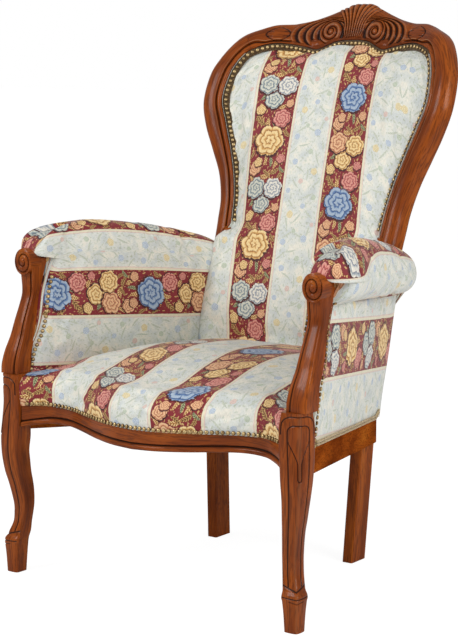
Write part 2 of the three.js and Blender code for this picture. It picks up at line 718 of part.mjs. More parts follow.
// Seat rails
const railSteps = 24;
function frontRailRings() {
  const reach = frontHalf;
  return Array.from({ length: railSteps + 1 }, (_, i) => {
    const x = mix(-reach, reach, i / railSteps);
    const front = frontFaceAt(x);
    const bottom = frontBottomAt(x);
    const nail = frontNailAt(x);
    const outline = [
      [beadProjection, bottom], [-beadProjection, bottom + beadHeight * 0.3],
      [-beadProjection, bottom + beadHeight * 0.8], [0, bottom + beadHeight],
      [beadProjection * 0.7, bottom + beadHeight + grooveHeight / 2], [0, bottom + beadHeight + grooveHeight],
      [0, nail], [rebate, nail], [rebate, webSeatAt(front + rebate)],
      [railThickness, webSeatAt(front + railThickness)], [railThickness, bottom],
    ];
    return outline.map(([y, z]) => vector(x, front + y, z));
  });
}
const frontRailGrown = (grow) => loft(frontRailRings(), grow);
function frontRail() {
  return cut(loft(frontRailRings()), frontLeg(-1, fitGap), frontLeg(1, fitGap),
    armPostGrown(-1, fitGap), armPostGrown(1, fitGap));
}

// A side rail butts against the flat back of the front leg
const legBackDepth = Math.max(...frontLegRings(1).flat().map((p) => p.y));
function sideRailRings(side) {
  return [legBackDepth + fitGap, legSpan].map((y) => {
    const outer = outerFaceAt(y);
    const nail = nailLineAt(y);
    const top = railTopAt(y);
    const bottom = nail - sideShowHeight;
    const outline = [
      [0, bottom + woodChamfer / 2], [0, nail], [-rebate, nail], [-rebate, top],
      [-railThickness, top], [-railThickness, bottom], [-woodChamfer / 2, bottom],
    ];
    return outline.map(([x, z]) => vector(side * (outer + x), y, z));
  });
}
const sideRailGrown = (side, grow) => loft(sideRailRings(side), grow);
function sideRail(side) {
  return cut(loft(sideRailRings(side)), frontLeg(side, fitGap), rearLeg(side, fitGap),
    frontRailGrown(fitGap), stileGrown(side, fitGap));
}

const backRailTop = webSeatAt(legSpan);
const backPanelFront = backFrameDepth - outsideBackThickness;

// A rail between the stiles that follows the back's sweep, from one depth to another
function sweptRailRings(bottom, height, nearDepth, farDepth) {
  const steps = 6;
  const reach = backHalfWidth * stileShares[0][1] + woodChamfer;
  return Array.from({ length: steps + 1 }, (_, i) => {
    const x = mix(-reach, reach, i / steps);
    return [[nearDepth, 0], [farDepth, 0], [farDepth, 1], [nearDepth, 1]]
      .map(([depth, share]) => onBack(x, bottom + height * share, depth));
  });
}

// The back seat rail's top takes the webs, so it lies in their plane
function backRailRings() {
  const rings = sweptRailRings(backRailTop - backRailHeight, backRailHeight,
    backPanelFront - fitGap - backRailThickness, backPanelFront - fitGap);
  rings.forEach((ring) => [ring[2], ring[3]].forEach((p) => p.setZ(webSeatAt(p.y))));
  return rings;
}
const backRailGrown = (grow) => loft(backRailRings(), grow);
function backRail() {
  return cut(loft(backRailRings()), ...sides.flatMap(([, side]) => [
    rearLeg(side, fitGap), stileGrown(side, fitGap), sideRailGrown(side, fitGap), stileDowel(side, fitGap)]));
}

// Corner blocks: a wedge set across each corner, cut to the rails and the leg
const backRailMiddleAt = (x) => backSurfaceY(x, backRailTop) + backPanelFront - fitGap - backRailThickness / 2;
function cornerBlock(side, atFront) {
  const way = atFront ? 1 : -1;
  const endRailAt = (x) => (atFront ? frontFaceAt(x) + railThickness / 2 : backRailMiddleAt(x));
  const corner = endRailAt(atFront ? frontHalf : stileFootX);
  const near = outerFaceAt(corner) - railThickness / 2;
  const far = near - railThickness / 2 - cornerBlockLeg;
  const reach = corner + way * (railThickness / 2 + cornerBlockLeg);
  const sideRailX = outerFaceAt(reach) - railThickness / 2;
  const top = Math.min(railTopAt(corner), railTopAt(reach)) - woodChamfer;
  const rings = [top - cornerBlockHeight, top].map((z) => [
    vector(side * near, endRailAt(near), z),
    vector(side * mix(near, far, 0.5), endRailAt(mix(near, far, 0.5)), z),
    vector(side * far, endRailAt(far), z),
    vector(side * far, endRailAt(far) + way * (railThickness / 2 + woodChamfer), z),
    vector(side * (sideRailX - railThickness / 2 - woodChamfer), reach, z),
    vector(side * sideRailX, reach, z),
  ]);
  const leg = atFront ? frontLeg(side, fitGap) : rearLeg(side, fitGap);
  return trim(loft(rings), leg, stileGrown(side, fitGap), frontRailGrown(fitGap), backRailGrown(fitGap),
    sideRailGrown(side, fitGap));
}

// The back's lower rail, hidden in the upholstery between the stiles
const backLowerRailRings = () => sweptRailRings(backLowerRailPlace, backLowerRailHeight,
  backPadSeat, backPanelFront - fitGap);
function backLowerRail() {
  return cut(loft(backLowerRailRings()), stileGrown(-1, fitGap), stileGrown(1, fitGap));
}

// Arms: lines of the inner face, the roll's centre and the outer panel, then their heights
const armInnerAt = (y) => mix(armInnerFrontHalf, armInnerRearHalf, y / legSpan);
const armCentreAt = (y) => mix(armCentreFrontHalf, armCentreRearHalf, y / legSpan);
const armPanelAt = (y) => mix(armPanelFrontHalf, armPanelRearHalf, y / legSpan);
const armCreaseAt = (y) => armCreaseHeight - armCreaseFall * (y / legSpan);
const armSeatAt = (y) => webSeatAt(y) + fitGap;
// Rows of depth, top, and the roll's outer and vertical radii, in shares of the leg span,
// the arm height and the full radii
const armShares = [
  [0.045, 0.986, 0.3, 1], [0.125, 0.989, 0.42, 1], [0.185, 0.993, 0.95, 1], [0.26, 0.998, 1.24, 1],
  [0.45, 0.999, 1.17, 1], [0.7, 0.9815, 1.1, 1], [0.86, 0.961, 1.06, 1], [0.985, 0.943, 1.03, 1],
  [1.07, 0.929, 0.93, 0.96], [1.14, 0.918, 0.56, 0.74],
];
const rollAnglesInner = [180, 140, 105];
const rollAnglesOuter = [70, 30, -10, -45, -80];
const radians = (degrees) => (degrees * Math.PI) / 180;

// The cover hangs to the nail line; the core form inside it runs on below
function armRing(side, row, isCore) {
  const [depthShare, topShare, outShare, upShare] = row;
  const y = legSpan * depthShare;
  const inner = armInnerAt(y);
  const centre = armCentreAt(y);
  const panel = armPanelAt(y);
  const crease = armCreaseAt(y);
  const top = armHeight * topShare;
  const middle = (top + crease) / 2;
  const rise = ((top - crease) / 2) * upShare;
  const outRadius = armRollOuterRadius * outShare;
  const inRadius = centre - inner + armInnerCrown / 4;
  const drop = isCore ? cutOverrun : 0;
  const innerBottom = armSeatAt(y) - drop;
  const outerBottom = nailLineAt(y) + fitGap - drop;
  const face = outerFaceAt(y);
  const points = [
    [inner + armInnerCrown / 4, innerBottom],
    [inner - armInnerCrown * 0.5, mix(armSeatAt(y), crease, 0.15)],
    [inner - armInnerCrown, mix(armSeatAt(y), crease, 0.42)],
    [inner - armInnerCrown, mix(armSeatAt(y), crease, 0.7)],
    [inner - armInnerCrown * 0.6, mix(armSeatAt(y), crease, 0.92)],
    ...rollAnglesInner.map((angle) => [
      centre + inRadius * Math.cos(radians(angle)), middle + rise * Math.sin(radians(angle))]),
    ...rollAnglesOuter.map((angle) => [
      centre + outRadius * Math.cos(radians(angle)), middle + rise * Math.sin(radians(angle))]),
    [panel + armInnerCrown * 0.2, middle - rise],
    [panel, middle - rise - armInnerCrown],
    [mix(panel, face, 0.45) + armInnerCrown * 0.3, mix(crease, nailLineAt(y), 0.45)],
    [mix(panel, face, 0.85) + armInnerCrown * 0.15, mix(crease, nailLineAt(y), 0.8)],
    [face, outerBottom],
  ];
  return points.map(([x, z]) => vector(side * x, y, z));
}

// The pad's front follows the post's nail line and is rounded over above the scroll:
// rows of height and depth, in shares of the post's way up and of the scroll's depth
const padFrontShares = [
  [-0.428, 0.4], [-0.171, 0.55], ...postShares.map(([heightShare, , nailShare]) => [heightShare, nailShare]),
  [0.776, 1.35], [0.843, 1.26], [0.8975, 1.43], [0.95, 1.83], [0.981, 2.4], [1.0048, 3.3], [1.095, 4.6],
];
const padRearShares = [
  [0.4, 1.05], [0.55, 1.062], [0.673, 1.081], [0.777, 1.114], [0.852, 1.135], [0.927, 1.141], [1.04, 1.11],
];
const cutterReach = 2 * frontHalf;

function frontCutter(extra) {
  return loft(padFrontShares.map(([heightShare, depthShare]) => {
    const y = scrollDepth * depthShare + fitGap + extra;
    const z = postHeightAt(heightShare);
    return [vector(-cutterReach, -cutterReach, z), vector(cutterReach, -cutterReach, z),
      vector(cutterReach, y, z), vector(-cutterReach, y, z)];
  }));
}
// Everything under a sloping bed, from one depth backwards
function below(bedAt, start) {
  return loft([start, cutterReach].map((y) => [
    vector(-cutterReach, y, 0), vector(cutterReach, y, 0),
    vector(cutterReach, y, bedAt(y)), vector(-cutterReach, y, bedAt(y))]));
}
function rearCutter(extra) {
  return loft(padRearShares.map(([heightShare, depthShare]) => {
    const y = legSpan * depthShare - extra;
    const z = armHeight * heightShare;
    return [vector(-cutterReach, y, z), vector(cutterReach, y, z),
      vector(cutterReach, y + cutterReach, z), vector(-cutterReach, y + cutterReach, z)];
  }));
}

function armForm(side, isCore, inset) {
  const body = loft(armShares.map((row) => armRing(side, row, isCore)), -inset);
  return cut(body, frontCutter(inset), rearCutter(inset));
}

// A straight board between two end places, as wide and thick as given
function board(from, to, width, thickness, grow = 0) {
  const rings = [from, to].map(([x, y, z]) => [
    vector(x - width / 2, y, z - thickness / 2), vector(x + width / 2, y, z - thickness / 2),
    vector(x + width / 2, y, z + thickness / 2), vector(x - width / 2, y, z + thickness / 2)]);
  return loft(rings, grow);
}

const armTopRailRearHalf = armInnerRearHalf + armTopRailWidth / 2 - armInnerCrown / 2;
const armWallMiddleAt = (y) => (armInnerAt(y) + outerFaceAt(y)) / 2;
function armTopRail(side, grow = 0) {
  const height = armHeight - armTopRailDrop;
  return board([side * postCentre, 1.8 * scrollDepth, height],
    [side * armTopRailRearHalf, legSpan * 1.09, height - armCreaseFall], armTopRailWidth, armTopRailThickness, grow);
}
function armStuffingRail(side, grow = 0) {
  const rise = armStuffingRailRise + armStuffingRailHeight / 2;
  return board([side * armWallMiddleAt(0), 0, railTopAt(0) + rise],
    [side * armWallMiddleAt(legSpan), legSpan, railTopAt(legSpan) + rise],
    armStuffingRailThickness, armStuffingRailHeight, grow);
}
const armWood = (side) => [
  frontLeg(side, fitGap), armPostGrown(side, fitGap), stileGrown(side, fitGap)];
const fittedArmTopRail = (side) => cut(armTopRail(side), ...armWood(side));
const fittedStuffingRail = (side) => cut(armStuffingRail(side), ...armWood(side));

function armNeighbours(side) {
  return [...armWood(side), frontRailGrown(fitGap), sideRailGrown(side, fitGap),
    armTopRail(side, fitGap), armStuffingRail(side, fitGap), crossWebs(fitGap)];
}
const armPad = (side) => trim(armForm(side, true, coverThickness + fitGap), below(armSeatAt, -cutterReach),
  ...armNeighbours(side));
const armCover = (side) => trim(armForm(side, false, 0), armForm(side, true, coverThickness),
  ...armNeighbours(side));

// Webs under the seat: lengthwise ones on the front and back rails, cross ones under them
const crossWebReach = 0.4;
function crossWeb(index, grow = 0) {
  const y = mix(legSpan * 0.2, legSpan * 0.8, index / (crossWebCount - 1));
  const rings = [y - webWidth / 2, y + webWidth / 2].map((depth) => {
    const reach = outerFaceAt(depth) - railThickness * crossWebReach;
    const bottom = railTopAt(depth) + fitGap;
    return [vector(-reach, depth, bottom), vector(reach, depth, bottom),
      vector(reach, depth, bottom + webThickness), vector(-reach, depth, bottom + webThickness)];
  });
  return loft(rings, grow);
}
function crossWebs(grow) {
  return join(...Array.from({ length: crossWebCount }, (_, i) => crossWeb(i, grow)));
}
function longWeb(index) {
  const spacing = (2 * stileFootX - webWidth) / longWebCount;
  const x = (index - (longWebCount - 1) / 2) * spacing;
  const front = frontFaceAt(x) + railThickness * 0.4;
  const rear = backRailMiddleAt(x) + backRailThickness * 0.1;
  return loft([front, rear].map((y) => {
    const bottom = webSeatAt(y) + fitGap;
    return [vector(x - webWidth / 2, y, bottom), vector(x + webWidth / 2, y, bottom),
      vector(x + webWidth / 2, y, bottom + webThickness), vector(x - webWidth / 2, y, bottom + webThickness)];
  }));
}

// The back's opening: half width at a height, and its lobed top edge at a width
const openingShares = stileShares.slice(0, 12).map((row) => [row[0], row[1]]);
const openingTopShares = [...crestShares.map((row) => [row[1], row[0]]).reverse(), [0.793, 0.9045]];
const openingHalfAt = (z) => backHalfWidth * smoothRow(openingShares, 1, z / overallHeight);
const openingTopAt = (x) => overallHeight * smoothRow(openingTopShares, 1, Math.abs(x) / backHalfWidth);
const openingCornerHalf = backHalfWidth * 0.793;
const waistBlendAt = (z) => ease((z - (waistScrollHeight - 2 * waistScrollRadius)) / (4 * waistScrollRadius));

const backColumns = 13;
const backRows = 12;
function backGrid(bottom, halfAt, depthAt) {
  return Array.from({ length: backRows }, (_, r) => Array.from({ length: backColumns }, (__, c) => {
    const u = -Math.cos((Math.PI * c) / (backColumns - 1));
    const v = Math.sin((Math.PI / 2) * (r / (backRows - 1)));
    const z = mix(bottom, openingTopAt(u * openingCornerHalf) - fitGap, v);
    return onBack(u * (halfAt(z) - fitGap), z, depthAt(u, v, z));
  }));
}

// The inside back swells to a crown and is drawn in to the nail line; below the arms it
// passes in front of the stiles
const crownAcross = (u) => (1 - Math.abs(u) ** 2.6) ** 0.6;
const crownUp = (v) => (1 - v ** 5) ** 0.6 * mix(0.85, 1, ease(v / 0.3));
const insideHalfAt = (z) => mix(lowerBackHalfWidth, openingHalfAt(z), waistBlendAt(z));
const insideDepthAt = (u, v, z) => mouldingDepth / 2 - backCrown * crownAcross(u) * crownUp(v)
  - lowerBackLift * (1 - waistBlendAt(z));
const insideFront = () => backGrid(backLowerRailPlace, insideHalfAt, insideDepthAt);
const forward = vector(0, -1, 0);

const backWood = () => [stileGrown(-1, fitGap), stileGrown(1, fitGap), loft(crestRings(), fitGap)];
function insideBackEnvelope(grow) {
  const bottom = backLowerRailPlace - coverThickness;
  const front = backGrid(bottom, insideHalfAt, insideDepthAt);
  return slab(offsetGrid(front, grow, forward), backGrid(bottom, insideHalfAt, () => backFrameDepth));
}
const armEnvelopes = () => sides.map(([, side]) => join(
  armForm(side, false, -fitGap), armForm(side, true, -fitGap)));

function insideBackCover() {
  const front = insideFront();
  return trim(slab(front, offsetGrid(front, -coverThickness, forward)), ...backWood(), ...armEnvelopes());
}
function backPad() {
  const front = offsetGrid(insideFront(), -coverThickness - fitGap, forward);
  const back = backGrid(backLowerRailPlace, insideHalfAt, () => backPadSeat - coverThickness);
  return trim(slab(front, back), ...backWood(), ...armEnvelopes(), loft(backLowerRailRings(), fitGap));
}
function outsideBackCover() {
  const bottom = nailLineAt(legSpan);
  const crown = (u, v) => outsideBackCrown * (1 - u * u) * (1 - v ** 4);
  const front = backGrid(bottom, openingHalfAt, (u, v) => backPanelFront + crown(u, v) * 0.5);
  const back = backGrid(bottom, openingHalfAt, (u, v) => backFrameDepth + crown(u, v));
  return cut(slab(front, back), ...backWood(), rearLeg(-1, fitGap), rearLeg(1, fitGap));
}
function backWebRings(index) {
  const z = mix(overallHeight * 0.5, overallHeight * 0.82, index / (backWebCount - 1));
  const steps = 6;
  const reach = openingHalfAt(z) + woodChamfer;
  return Array.from({ length: steps + 1 }, (_, i) => {
    const x = mix(-reach, reach, i / steps);
    return [[0, 0], [webThickness, 0], [webThickness, 1], [0, 1]].map(([depth, share]) => onBack(
      x, z + webWidth * (share - 0.5), backPadSeat + depth));
  });
}
const backWeb = (index) => cut(loft(backWebRings(index)), stileGrown(-1, fitGap), stileGrown(1, fitGap));

// The seat: sections across the width, each from the nail line over the nose to the rear
const seatColumns = 13;
const noseShares = [[0, 0], [-0.15, 0.33], [-0.12, 0.63], [0.2, 0.87], [0.9, 1]];
const seatTopShares = [[0.054, 1.113], [0.21, 1.14], [0.48, 1.171], [0.94, 1.174], [1.1, 1.165]];
const seatRowShares = [0.14, 0.3, 0.48, 0.66, 0.82, 1];
const seatRearY = legSpan * 0.97;
const seatSideTopAt = (y) => railTopHeight * smoothRow(seatTopShares, 1, y / legSpan);
const seatCrownAt = (u, y) => seatCrown * (1 - Math.abs(u) ** 2.6)
  * mix(0.1, 1, ease(y / (legSpan * 0.45))) * mix(1, 0.55, ease((y / legSpan - 0.5) / 0.5));

const seatBedAt = (y) => webSeatAt(y) + webThickness + 2 * fitGap;
function seatRing(u, isCore) {
  const points = [];
  const drop = isCore ? cutOverrun : 0;
  const place = (y) => u * (armInnerAt(y) + woodChamfer);
  const x = place(0);
  const front = frontFaceAt(x);
  const nail = frontNailAt(x) + fitGap;
  noseShares.forEach(([outShare, upShare]) => {
    const y = front + seatNoseRadius * outShare;
    const z = nail + seatEdgeRise * upShare + seatCrownAt(u, y) * upShare;
    points.push([x, y, z]);
  });
  points[0][2] -= drop;
  const noseEnd = front + seatNoseRadius * noseShares[4][0];
  seatRowShares.forEach((share) => {
    const y = mix(noseEnd, seatRearY + drop, share);
    points.push([place(y), y, seatSideTopAt(y) + seatCrownAt(u, y)]);
  });
  const rearBottom = seatBedAt(seatRearY) - drop;
  points.push([place(seatRearY), seatRearY + drop, rearBottom]);
  return points.map(([px, py, pz]) => vector(px, py, pz));
}

function seatForm(isCore, inset) {
  const rings = Array.from({ length: seatColumns }, (_, i) => seatRing(
    -Math.cos((Math.PI * i) / (seatColumns - 1)), isCore));
  return loft(rings, -inset);
}
function seatNeighbours() {
  return [
    ...sides.flatMap(([, side]) => [frontLeg(side, fitGap), armPostGrown(side, fitGap),
      rearLeg(side, fitGap), stileGrown(side, fitGap), sideRailGrown(side, fitGap)]),
    ...armEnvelopes(), insideBackEnvelope(fitGap), frontRailGrown(fitGap), backRailGrown(fitGap),
  ];
}
const seatPad = () => trim(seatForm(true, coverThickness + fitGap), below(seatBedAt, -cutterReach),
  ...seatNeighbours());
const seatCover = () => trim(seatForm(false, 0), seatForm(true, coverThickness), below(seatBedAt, railThickness),
  ...seatNeighbours());

// The dust cloth under the seat, stretched between the rails
function dustCover() {
  const frontHeight = railTopHeight - upholsteredEdge - showWoodHeight * 0.9 + dustCoverRecess;
  const rearHeight = backRailTop - backRailHeight + dustCoverRecess;
  const heightAt = (y) => mix(frontHeight, rearHeight, y / legSpan);
  const inShare = 0.6;
  const steps = 12;
  const outline = [];
  for (let i = 0; i <= steps; i += 1) {
    const x = mix(-1, 1, i / steps) * (frontOuterHalfWidth - railThickness);
    outline.push([x, frontFaceAt(x) + railThickness * inShare]);
  }
  const rear = backRailMiddleAt(stileFootX);
  const rearReach = outerFaceAt(rear) - railThickness * inShare;
  outline.push([rearReach, rear], [-rearReach, rear]);
  const rings = [0, dustCoverThickness].map((lift) => outline.map(([x, y]) => vector(x, y, heightAt(y) + lift)));
  return trim(loft(rings), frontRailGrown(fitGap), backRailGrown(fitGap),
    ...sides.flatMap(([, side]) => [frontLeg(side, fitGap), rearLeg(side, fitGap), sideRailGrown(side, fitGap)]));
}

// Assembly
for (const [name, side] of sides) {
  addPiece(`front_leg_${name}`, cut(frontLeg(side), postDowel(side, fitGap)), materials.showWood);
  addPiece(`rear_leg_${name}`, cut(rearLeg(side), stileDowel(side, fitGap)), materials.showWood);
  addPiece(`arm_post_${name}`, armPost(side), materials.showWood);
  addPiece(`back_stile_${name}`, backStile(side), materials.showWood);
  addPiece(`side_rail_${name}`, sideRail(side), materials.showWood);
  addPiece(`corner_block_front_${name}`, cornerBlock(side, true), materials.plainWood);
  addPiece(`corner_block_rear_${name}`, cornerBlock(side, false), materials.plainWood);
  addPiece(`arm_top_rail_${name}`, fittedArmTopRail(side), materials.plainWood);
  addPiece(`arm_stuffing_rail_${name}`, fittedStuffingRail(side), materials.plainWood);
  addPiece(`post_dowel_${name}`, postDowel(side), materials.dowelWood);
  addPiece(`stile_dowel_${name}`, stileDowel(side), materials.dowelWood);
  addPiece(`crest_dowel_${name}`, seamDowel(side), materials.dowelWood);
  addPiece(`arm_pad_${name}`, armPad(side), materials.foam);
  addPiece(`arm_cover_${name}`, armCover(side), materials.stripeFabric);
}
addPiece('front_rail', frontRail(), materials.showWood);
addPiece('back_seat_rail', backRail(), materials.showWood);
addPiece('back_lower_rail', backLowerRail(), materials.plainWood);
addPiece('crest_rail', crestRail(), materials.showWood);
for (let i = 0; i < longWebCount; i += 1) addPiece(`seat_web_long_${i + 1}`, longWeb(i), materials.webbing);
for (let i = 0; i < crossWebCount; i += 1) addPiece(`seat_web_cross_${i + 1}`, crossWeb(i), materials.webbing);
for (let i = 0; i < backWebCount; i += 1) addPiece(`back_web_${i + 1}`, backWeb(i), materials.webbing);
addPiece('seat_pad', seatPad(), materials.foam);
addPiece('seat_cover', seatCover(), materials.stripeFabric);
addPiece('back_pad', backPad(), materials.foam);
addPiece('inside_back_cover', insideBackCover(), materials.stripeFabric);
addPiece('outside_back_cover', outsideBackCover(), materials.backFabric);
addPiece('dust_cover', dustCover(), materials.dustCloth);

// The origin is on the floor, at the middle of the chair's depth
const depthBox = new THREE.Box3().setFromObject(group);
group.position.y = -(depthBox.min.y + depthBox.max.y) / 2;
group.updateMatrixWorld(true);

export default group;
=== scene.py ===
# %% [markdown]
# # A carved bergere, piece by piece
# The chair is a show-wood frame of polished walnut colour, upholstered in a floral stripe and edged
# with bronze nails. The CAD model gives every place and size; this lesson dresses it. Everything is in
# metres, with the chair's middle at x = 0 and its front towards -y.

# %% Load the fixed frame
import bpy
import numpy as np
from mathutils import Matrix, Vector


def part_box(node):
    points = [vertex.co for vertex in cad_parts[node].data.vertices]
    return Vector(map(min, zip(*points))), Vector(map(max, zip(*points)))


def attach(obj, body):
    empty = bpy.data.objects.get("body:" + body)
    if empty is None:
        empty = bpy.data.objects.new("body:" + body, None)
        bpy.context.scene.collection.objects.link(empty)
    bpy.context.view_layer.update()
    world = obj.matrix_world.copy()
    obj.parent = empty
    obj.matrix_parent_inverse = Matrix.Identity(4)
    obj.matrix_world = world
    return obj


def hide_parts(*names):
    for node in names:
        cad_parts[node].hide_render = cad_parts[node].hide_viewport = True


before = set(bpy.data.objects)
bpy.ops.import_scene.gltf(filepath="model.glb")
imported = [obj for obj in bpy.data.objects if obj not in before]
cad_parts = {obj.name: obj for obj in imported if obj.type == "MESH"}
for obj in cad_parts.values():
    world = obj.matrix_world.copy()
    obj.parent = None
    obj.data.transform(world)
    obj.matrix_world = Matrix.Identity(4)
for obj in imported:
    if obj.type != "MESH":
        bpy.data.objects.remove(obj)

scene = bpy.context.scene
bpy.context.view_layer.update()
cross_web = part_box("seat_web_cross_1")
LEG_SPAN, FIRST_WEB = 0.446, 0.2  # from front to rear legs, and the first cross web's share of the way
FRONT_AXIS = (cross_web[0][1] + cross_web[1][1]) / 2 - FIRST_WEB * LEG_SPAN
SIDES = ("right", "left")

# %% [markdown]
# ## The camera
# The photograph was taken from the front right, a little above the seat. The numbers below were worked
# out from the chair's measured corners. A camera in Blender looks along its own -Z, so its matrix is
# built from the three directions right, up and back.

# %% Place the camera
AZIMUTH, ELEVATION = np.radians(36.02), np.radians(7.43)
CAMERA_PLACE, LENS, SHIFT = (2.0805, -2.9589, 1.0112), 104.92, -0.0491
level = np.cos(ELEVATION)
back_way = Vector((np.sin(AZIMUTH) * level, -np.cos(AZIMUTH) * level, np.sin(ELEVATION)))
right_way = Vector((np.cos(AZIMUTH), np.sin(AZIMUTH), 0.0))
up_way = back_way.cross(right_way)
camera = bpy.data.objects.new("photo_camera", bpy.data.cameras.new("photo_camera"))
camera.data.lens = LENS
camera.data.sensor_width = 36.0
camera.data.shift_y = SHIFT
camera.matrix_world = Matrix.Translation(CAMERA_PLACE) @ Matrix(
    (right_way, up_way, back_way)).transposed().to_4x4()
scene.collection.objects.link(camera)
scene.camera = camera
print("camera looks from", tuple(round(v, 3) for v in camera.location))

# %% [markdown]
# ## Two ways to fill between known points
# A frame maker draws a few sections full size and lets the curve run fair between them. The table of
# sections does the same here: `fair` carries every column of a table smoothly from row to row, and
# `fair_points` does it for whole lines of points.

# %% Helpers for smooth rows
def mix(a, b, share):
    """The value a given share of the way from a to b."""
    return a + (b - a) * share


def ease(share):
    """0 before 0 and 1 after 1, with a smooth start and end: 3 s squared less 2 s cubed."""
    share = np.clip(share, 0.0, 1.0)
    return share * share * (3 - 2 * share)


def cut(distance, width):
    """1 on a line and 0 away from it: e to the minus of (distance / width) squared."""
    return np.exp(-((distance / width) ** 2))


def circle(count):
    """Angles evenly round a full turn."""
    return np.linspace(0, 2 * np.pi, count, endpoint=False)


def fair(rows, at):
    """Columns 1... of a table at places of column 0: a cubic through each two rows, whose slope at a
    row is that of the line between its neighbours."""
    rows = np.asarray(rows, float)
    place, values = rows[:, 0], rows[:, 1:]
    ends = np.clip(np.arange(len(place))[:, None] + [-1, 1], 0, len(place) - 1)
    slope = (values[ends[:, 1]] - values[ends[:, 0]]) / (place[ends[:, 1]] - place[ends[:, 0]])[:, None]
    at = np.clip(at, place[0], place[-1])
    i = np.clip(np.searchsorted(place, at, side="right") - 1, 0, len(place) - 2)
    span = (place[i + 1] - place[i])[..., None]
    t = (at - place[i])[..., None] / span
    return ((2 * t**3 - 3 * t**2 + 1) * values[i] + (t**3 - 2 * t**2 + t) * slope[i] * span
            + (3 * t**2 - 2 * t**3) * values[i + 1] + (t**3 - t**2) * slope[i + 1] * span)


def fair_points(points, count):
    """`count` rows through the given rows of points, evenly along the row numbers."""
    points = np.asarray(points, float)
    rows = np.column_stack([np.arange(len(points)), points.reshape(len(points), -1)])
    return fair(rows, np.linspace(0, len(points) - 1, count)).reshape((count,) + points.shape[1:])


def lengths(points, axis=0):
    """Distance gone along a line of points, from its first point."""
    step = np.linalg.norm(np.diff(points, axis=axis), axis=-1)
    return np.insert(np.cumsum(step, axis=axis), 0, 0.0, axis=axis)


def unit(vectors):
    """Each vector divided by its length."""
    return vectors / np.maximum(np.linalg.norm(vectors, axis=-1, keepdims=True), 1e-12)


# %% [markdown]
# ## Closed bodies from grids
# Each piece is one or more closed bodies. A `tube` runs through rings of points and is filled at its
# ends; a `slab` joins a front and a back grid round the rim. Both carry three things for the
# materials: `grain`, a place measured along and across the piece so that wood figure follows it;
# `hollow`, how deep a carved point lies, which sets its stain, and below zero a highlight painted on
# ridges and arrises; and for cloth a UV map in metres.

# %% Helpers that make bodies and pieces
def grid_quads(rows, cols, wrap):
    """Corner numbers of a grid's quads, and the same corners' row and column."""
    r, c = np.meshgrid(np.arange(rows - 1), np.arange(cols if wrap else cols - 1), indexing="ij")
    row = np.stack([r, r, r + 1, r + 1], -1).reshape(-1, 4)
    col = np.stack([c, c + 1, c + 1, c], -1).reshape(-1, 4)
    return row * cols + col % cols, row, col


def grain_of(rings):
    """Place across, through and along: offsets from each ring's middle, and the way gone."""
    middle = rings.mean(axis=1)
    way = unit(np.gradient(middle, axis=0))
    guide = np.array([0.0, 1.0, 0.0]) if abs(way[:, 1]).mean() < 0.8 else np.array([0.0, 0.0, 1.0])
    side = unit(np.cross(way, guide))
    deep = np.cross(way, side)
    offset = rings - middle[:, None]
    gone = lengths(middle)[:, None]
    return np.stack([(offset * side[:, None]).sum(-1), (offset * deep[:, None]).sum(-1),
                     gone + (offset * way[:, None]).sum(-1)], -1)


def outward(body):
    """Turns the faces round where the body's signed volume says that they point inwards."""
    co, quads, tris = body["co"], body["quads"], body["tris"]
    corners = np.concatenate([quads[:, [0, 1, 2]], quads[:, [0, 2, 3]], tris])
    a, b, c = (co[corners[:, k]] - co.mean(axis=0) for k in range(3))
    if (a * np.cross(b, c)).sum() < 0:
        for key in ("quads", "tris", "quad_uv", "tri_uv"):
            body[key] = body[key][:, ::-1]
    return body


def tube(rings, hollow=None, uv=None, poles=None):
    """A closed tube through rings shaped (rows, around, 3). A fan to a pole fills each end; the poles are
    the end rings' middles unless they are given."""
    rows, around = rings.shape[:2]
    quads, row, col = grid_quads(rows, around, True)
    ends = [rings[0].mean(axis=0), rings[-1].mean(axis=0)]
    middle = np.array(ends if poles is None else poles)
    k = np.arange(around)
    start = np.stack([(k + 1) % around, k, np.full(around, rows * around)], -1)
    end = np.stack([k, (k + 1) % around, np.full(around, rows * around + 1)], -1)
    end[:, :2] += (rows - 1) * around
    hollow = np.zeros((rows, around)) if hollow is None else hollow
    grain = grain_of(rings)
    uv = np.zeros((rows, around + 1, 2)) if uv is None else uv
    tri_uv = np.concatenate([np.stack([uv[0, 1:], uv[0, :-1], uv[0, :-1]], 1),
                             np.stack([uv[-1, :-1], uv[-1, 1:], uv[-1, :-1]], 1)])
    return outward({
        "co": np.concatenate([rings.reshape(-1, 3), middle]), "quads": quads,
        "tris": np.concatenate([start, end]),
        "hollow": np.concatenate([hollow.ravel(), [0.0, 0.0]]),
        "grain": np.concatenate([grain.reshape(-1, 3), [grain[0].mean(axis=0), grain[-1].mean(axis=0)]]),
        "quad_uv": uv[row, col], "tri_uv": tri_uv})


def slab(front, back, uv, hollow=None):
    """A closed plate between two grids of the same shape, joined by a strip round the rim."""
    rows, cols = front.shape[:2]
    quads, row, col = grid_quads(rows, cols, False)
    index = np.arange(rows * cols).reshape(rows, cols)
    rim = np.concatenate([index[0, :-1], index[:-1, -1], index[-1, :0:-1], index[:0:-1, 0]])
    strip = np.stack([rim, np.roll(rim, -1), np.roll(rim, -1) + rows * cols, rim + rows * cols], -1)
    flat = uv.reshape(-1, 2)
    hollow = np.zeros(rows * cols) if hollow is None else hollow.ravel()
    grain = front.reshape(-1, 3)
    return outward({
        "co": np.concatenate([front.reshape(-1, 3), back.reshape(-1, 3)]),
        "quads": np.concatenate([quads[:, ::-1], quads + rows * cols, strip]),
        "tris": np.zeros((0, 3), int), "hollow": np.concatenate([hollow, hollow * 0]),
        "grain": np.concatenate([grain, grain]),
        "quad_uv": np.concatenate([flat[quads[:, ::-1]], flat[quads], flat[strip % (rows * cols)]]),
        "tri_uv": np.zeros((0, 3, 2))})


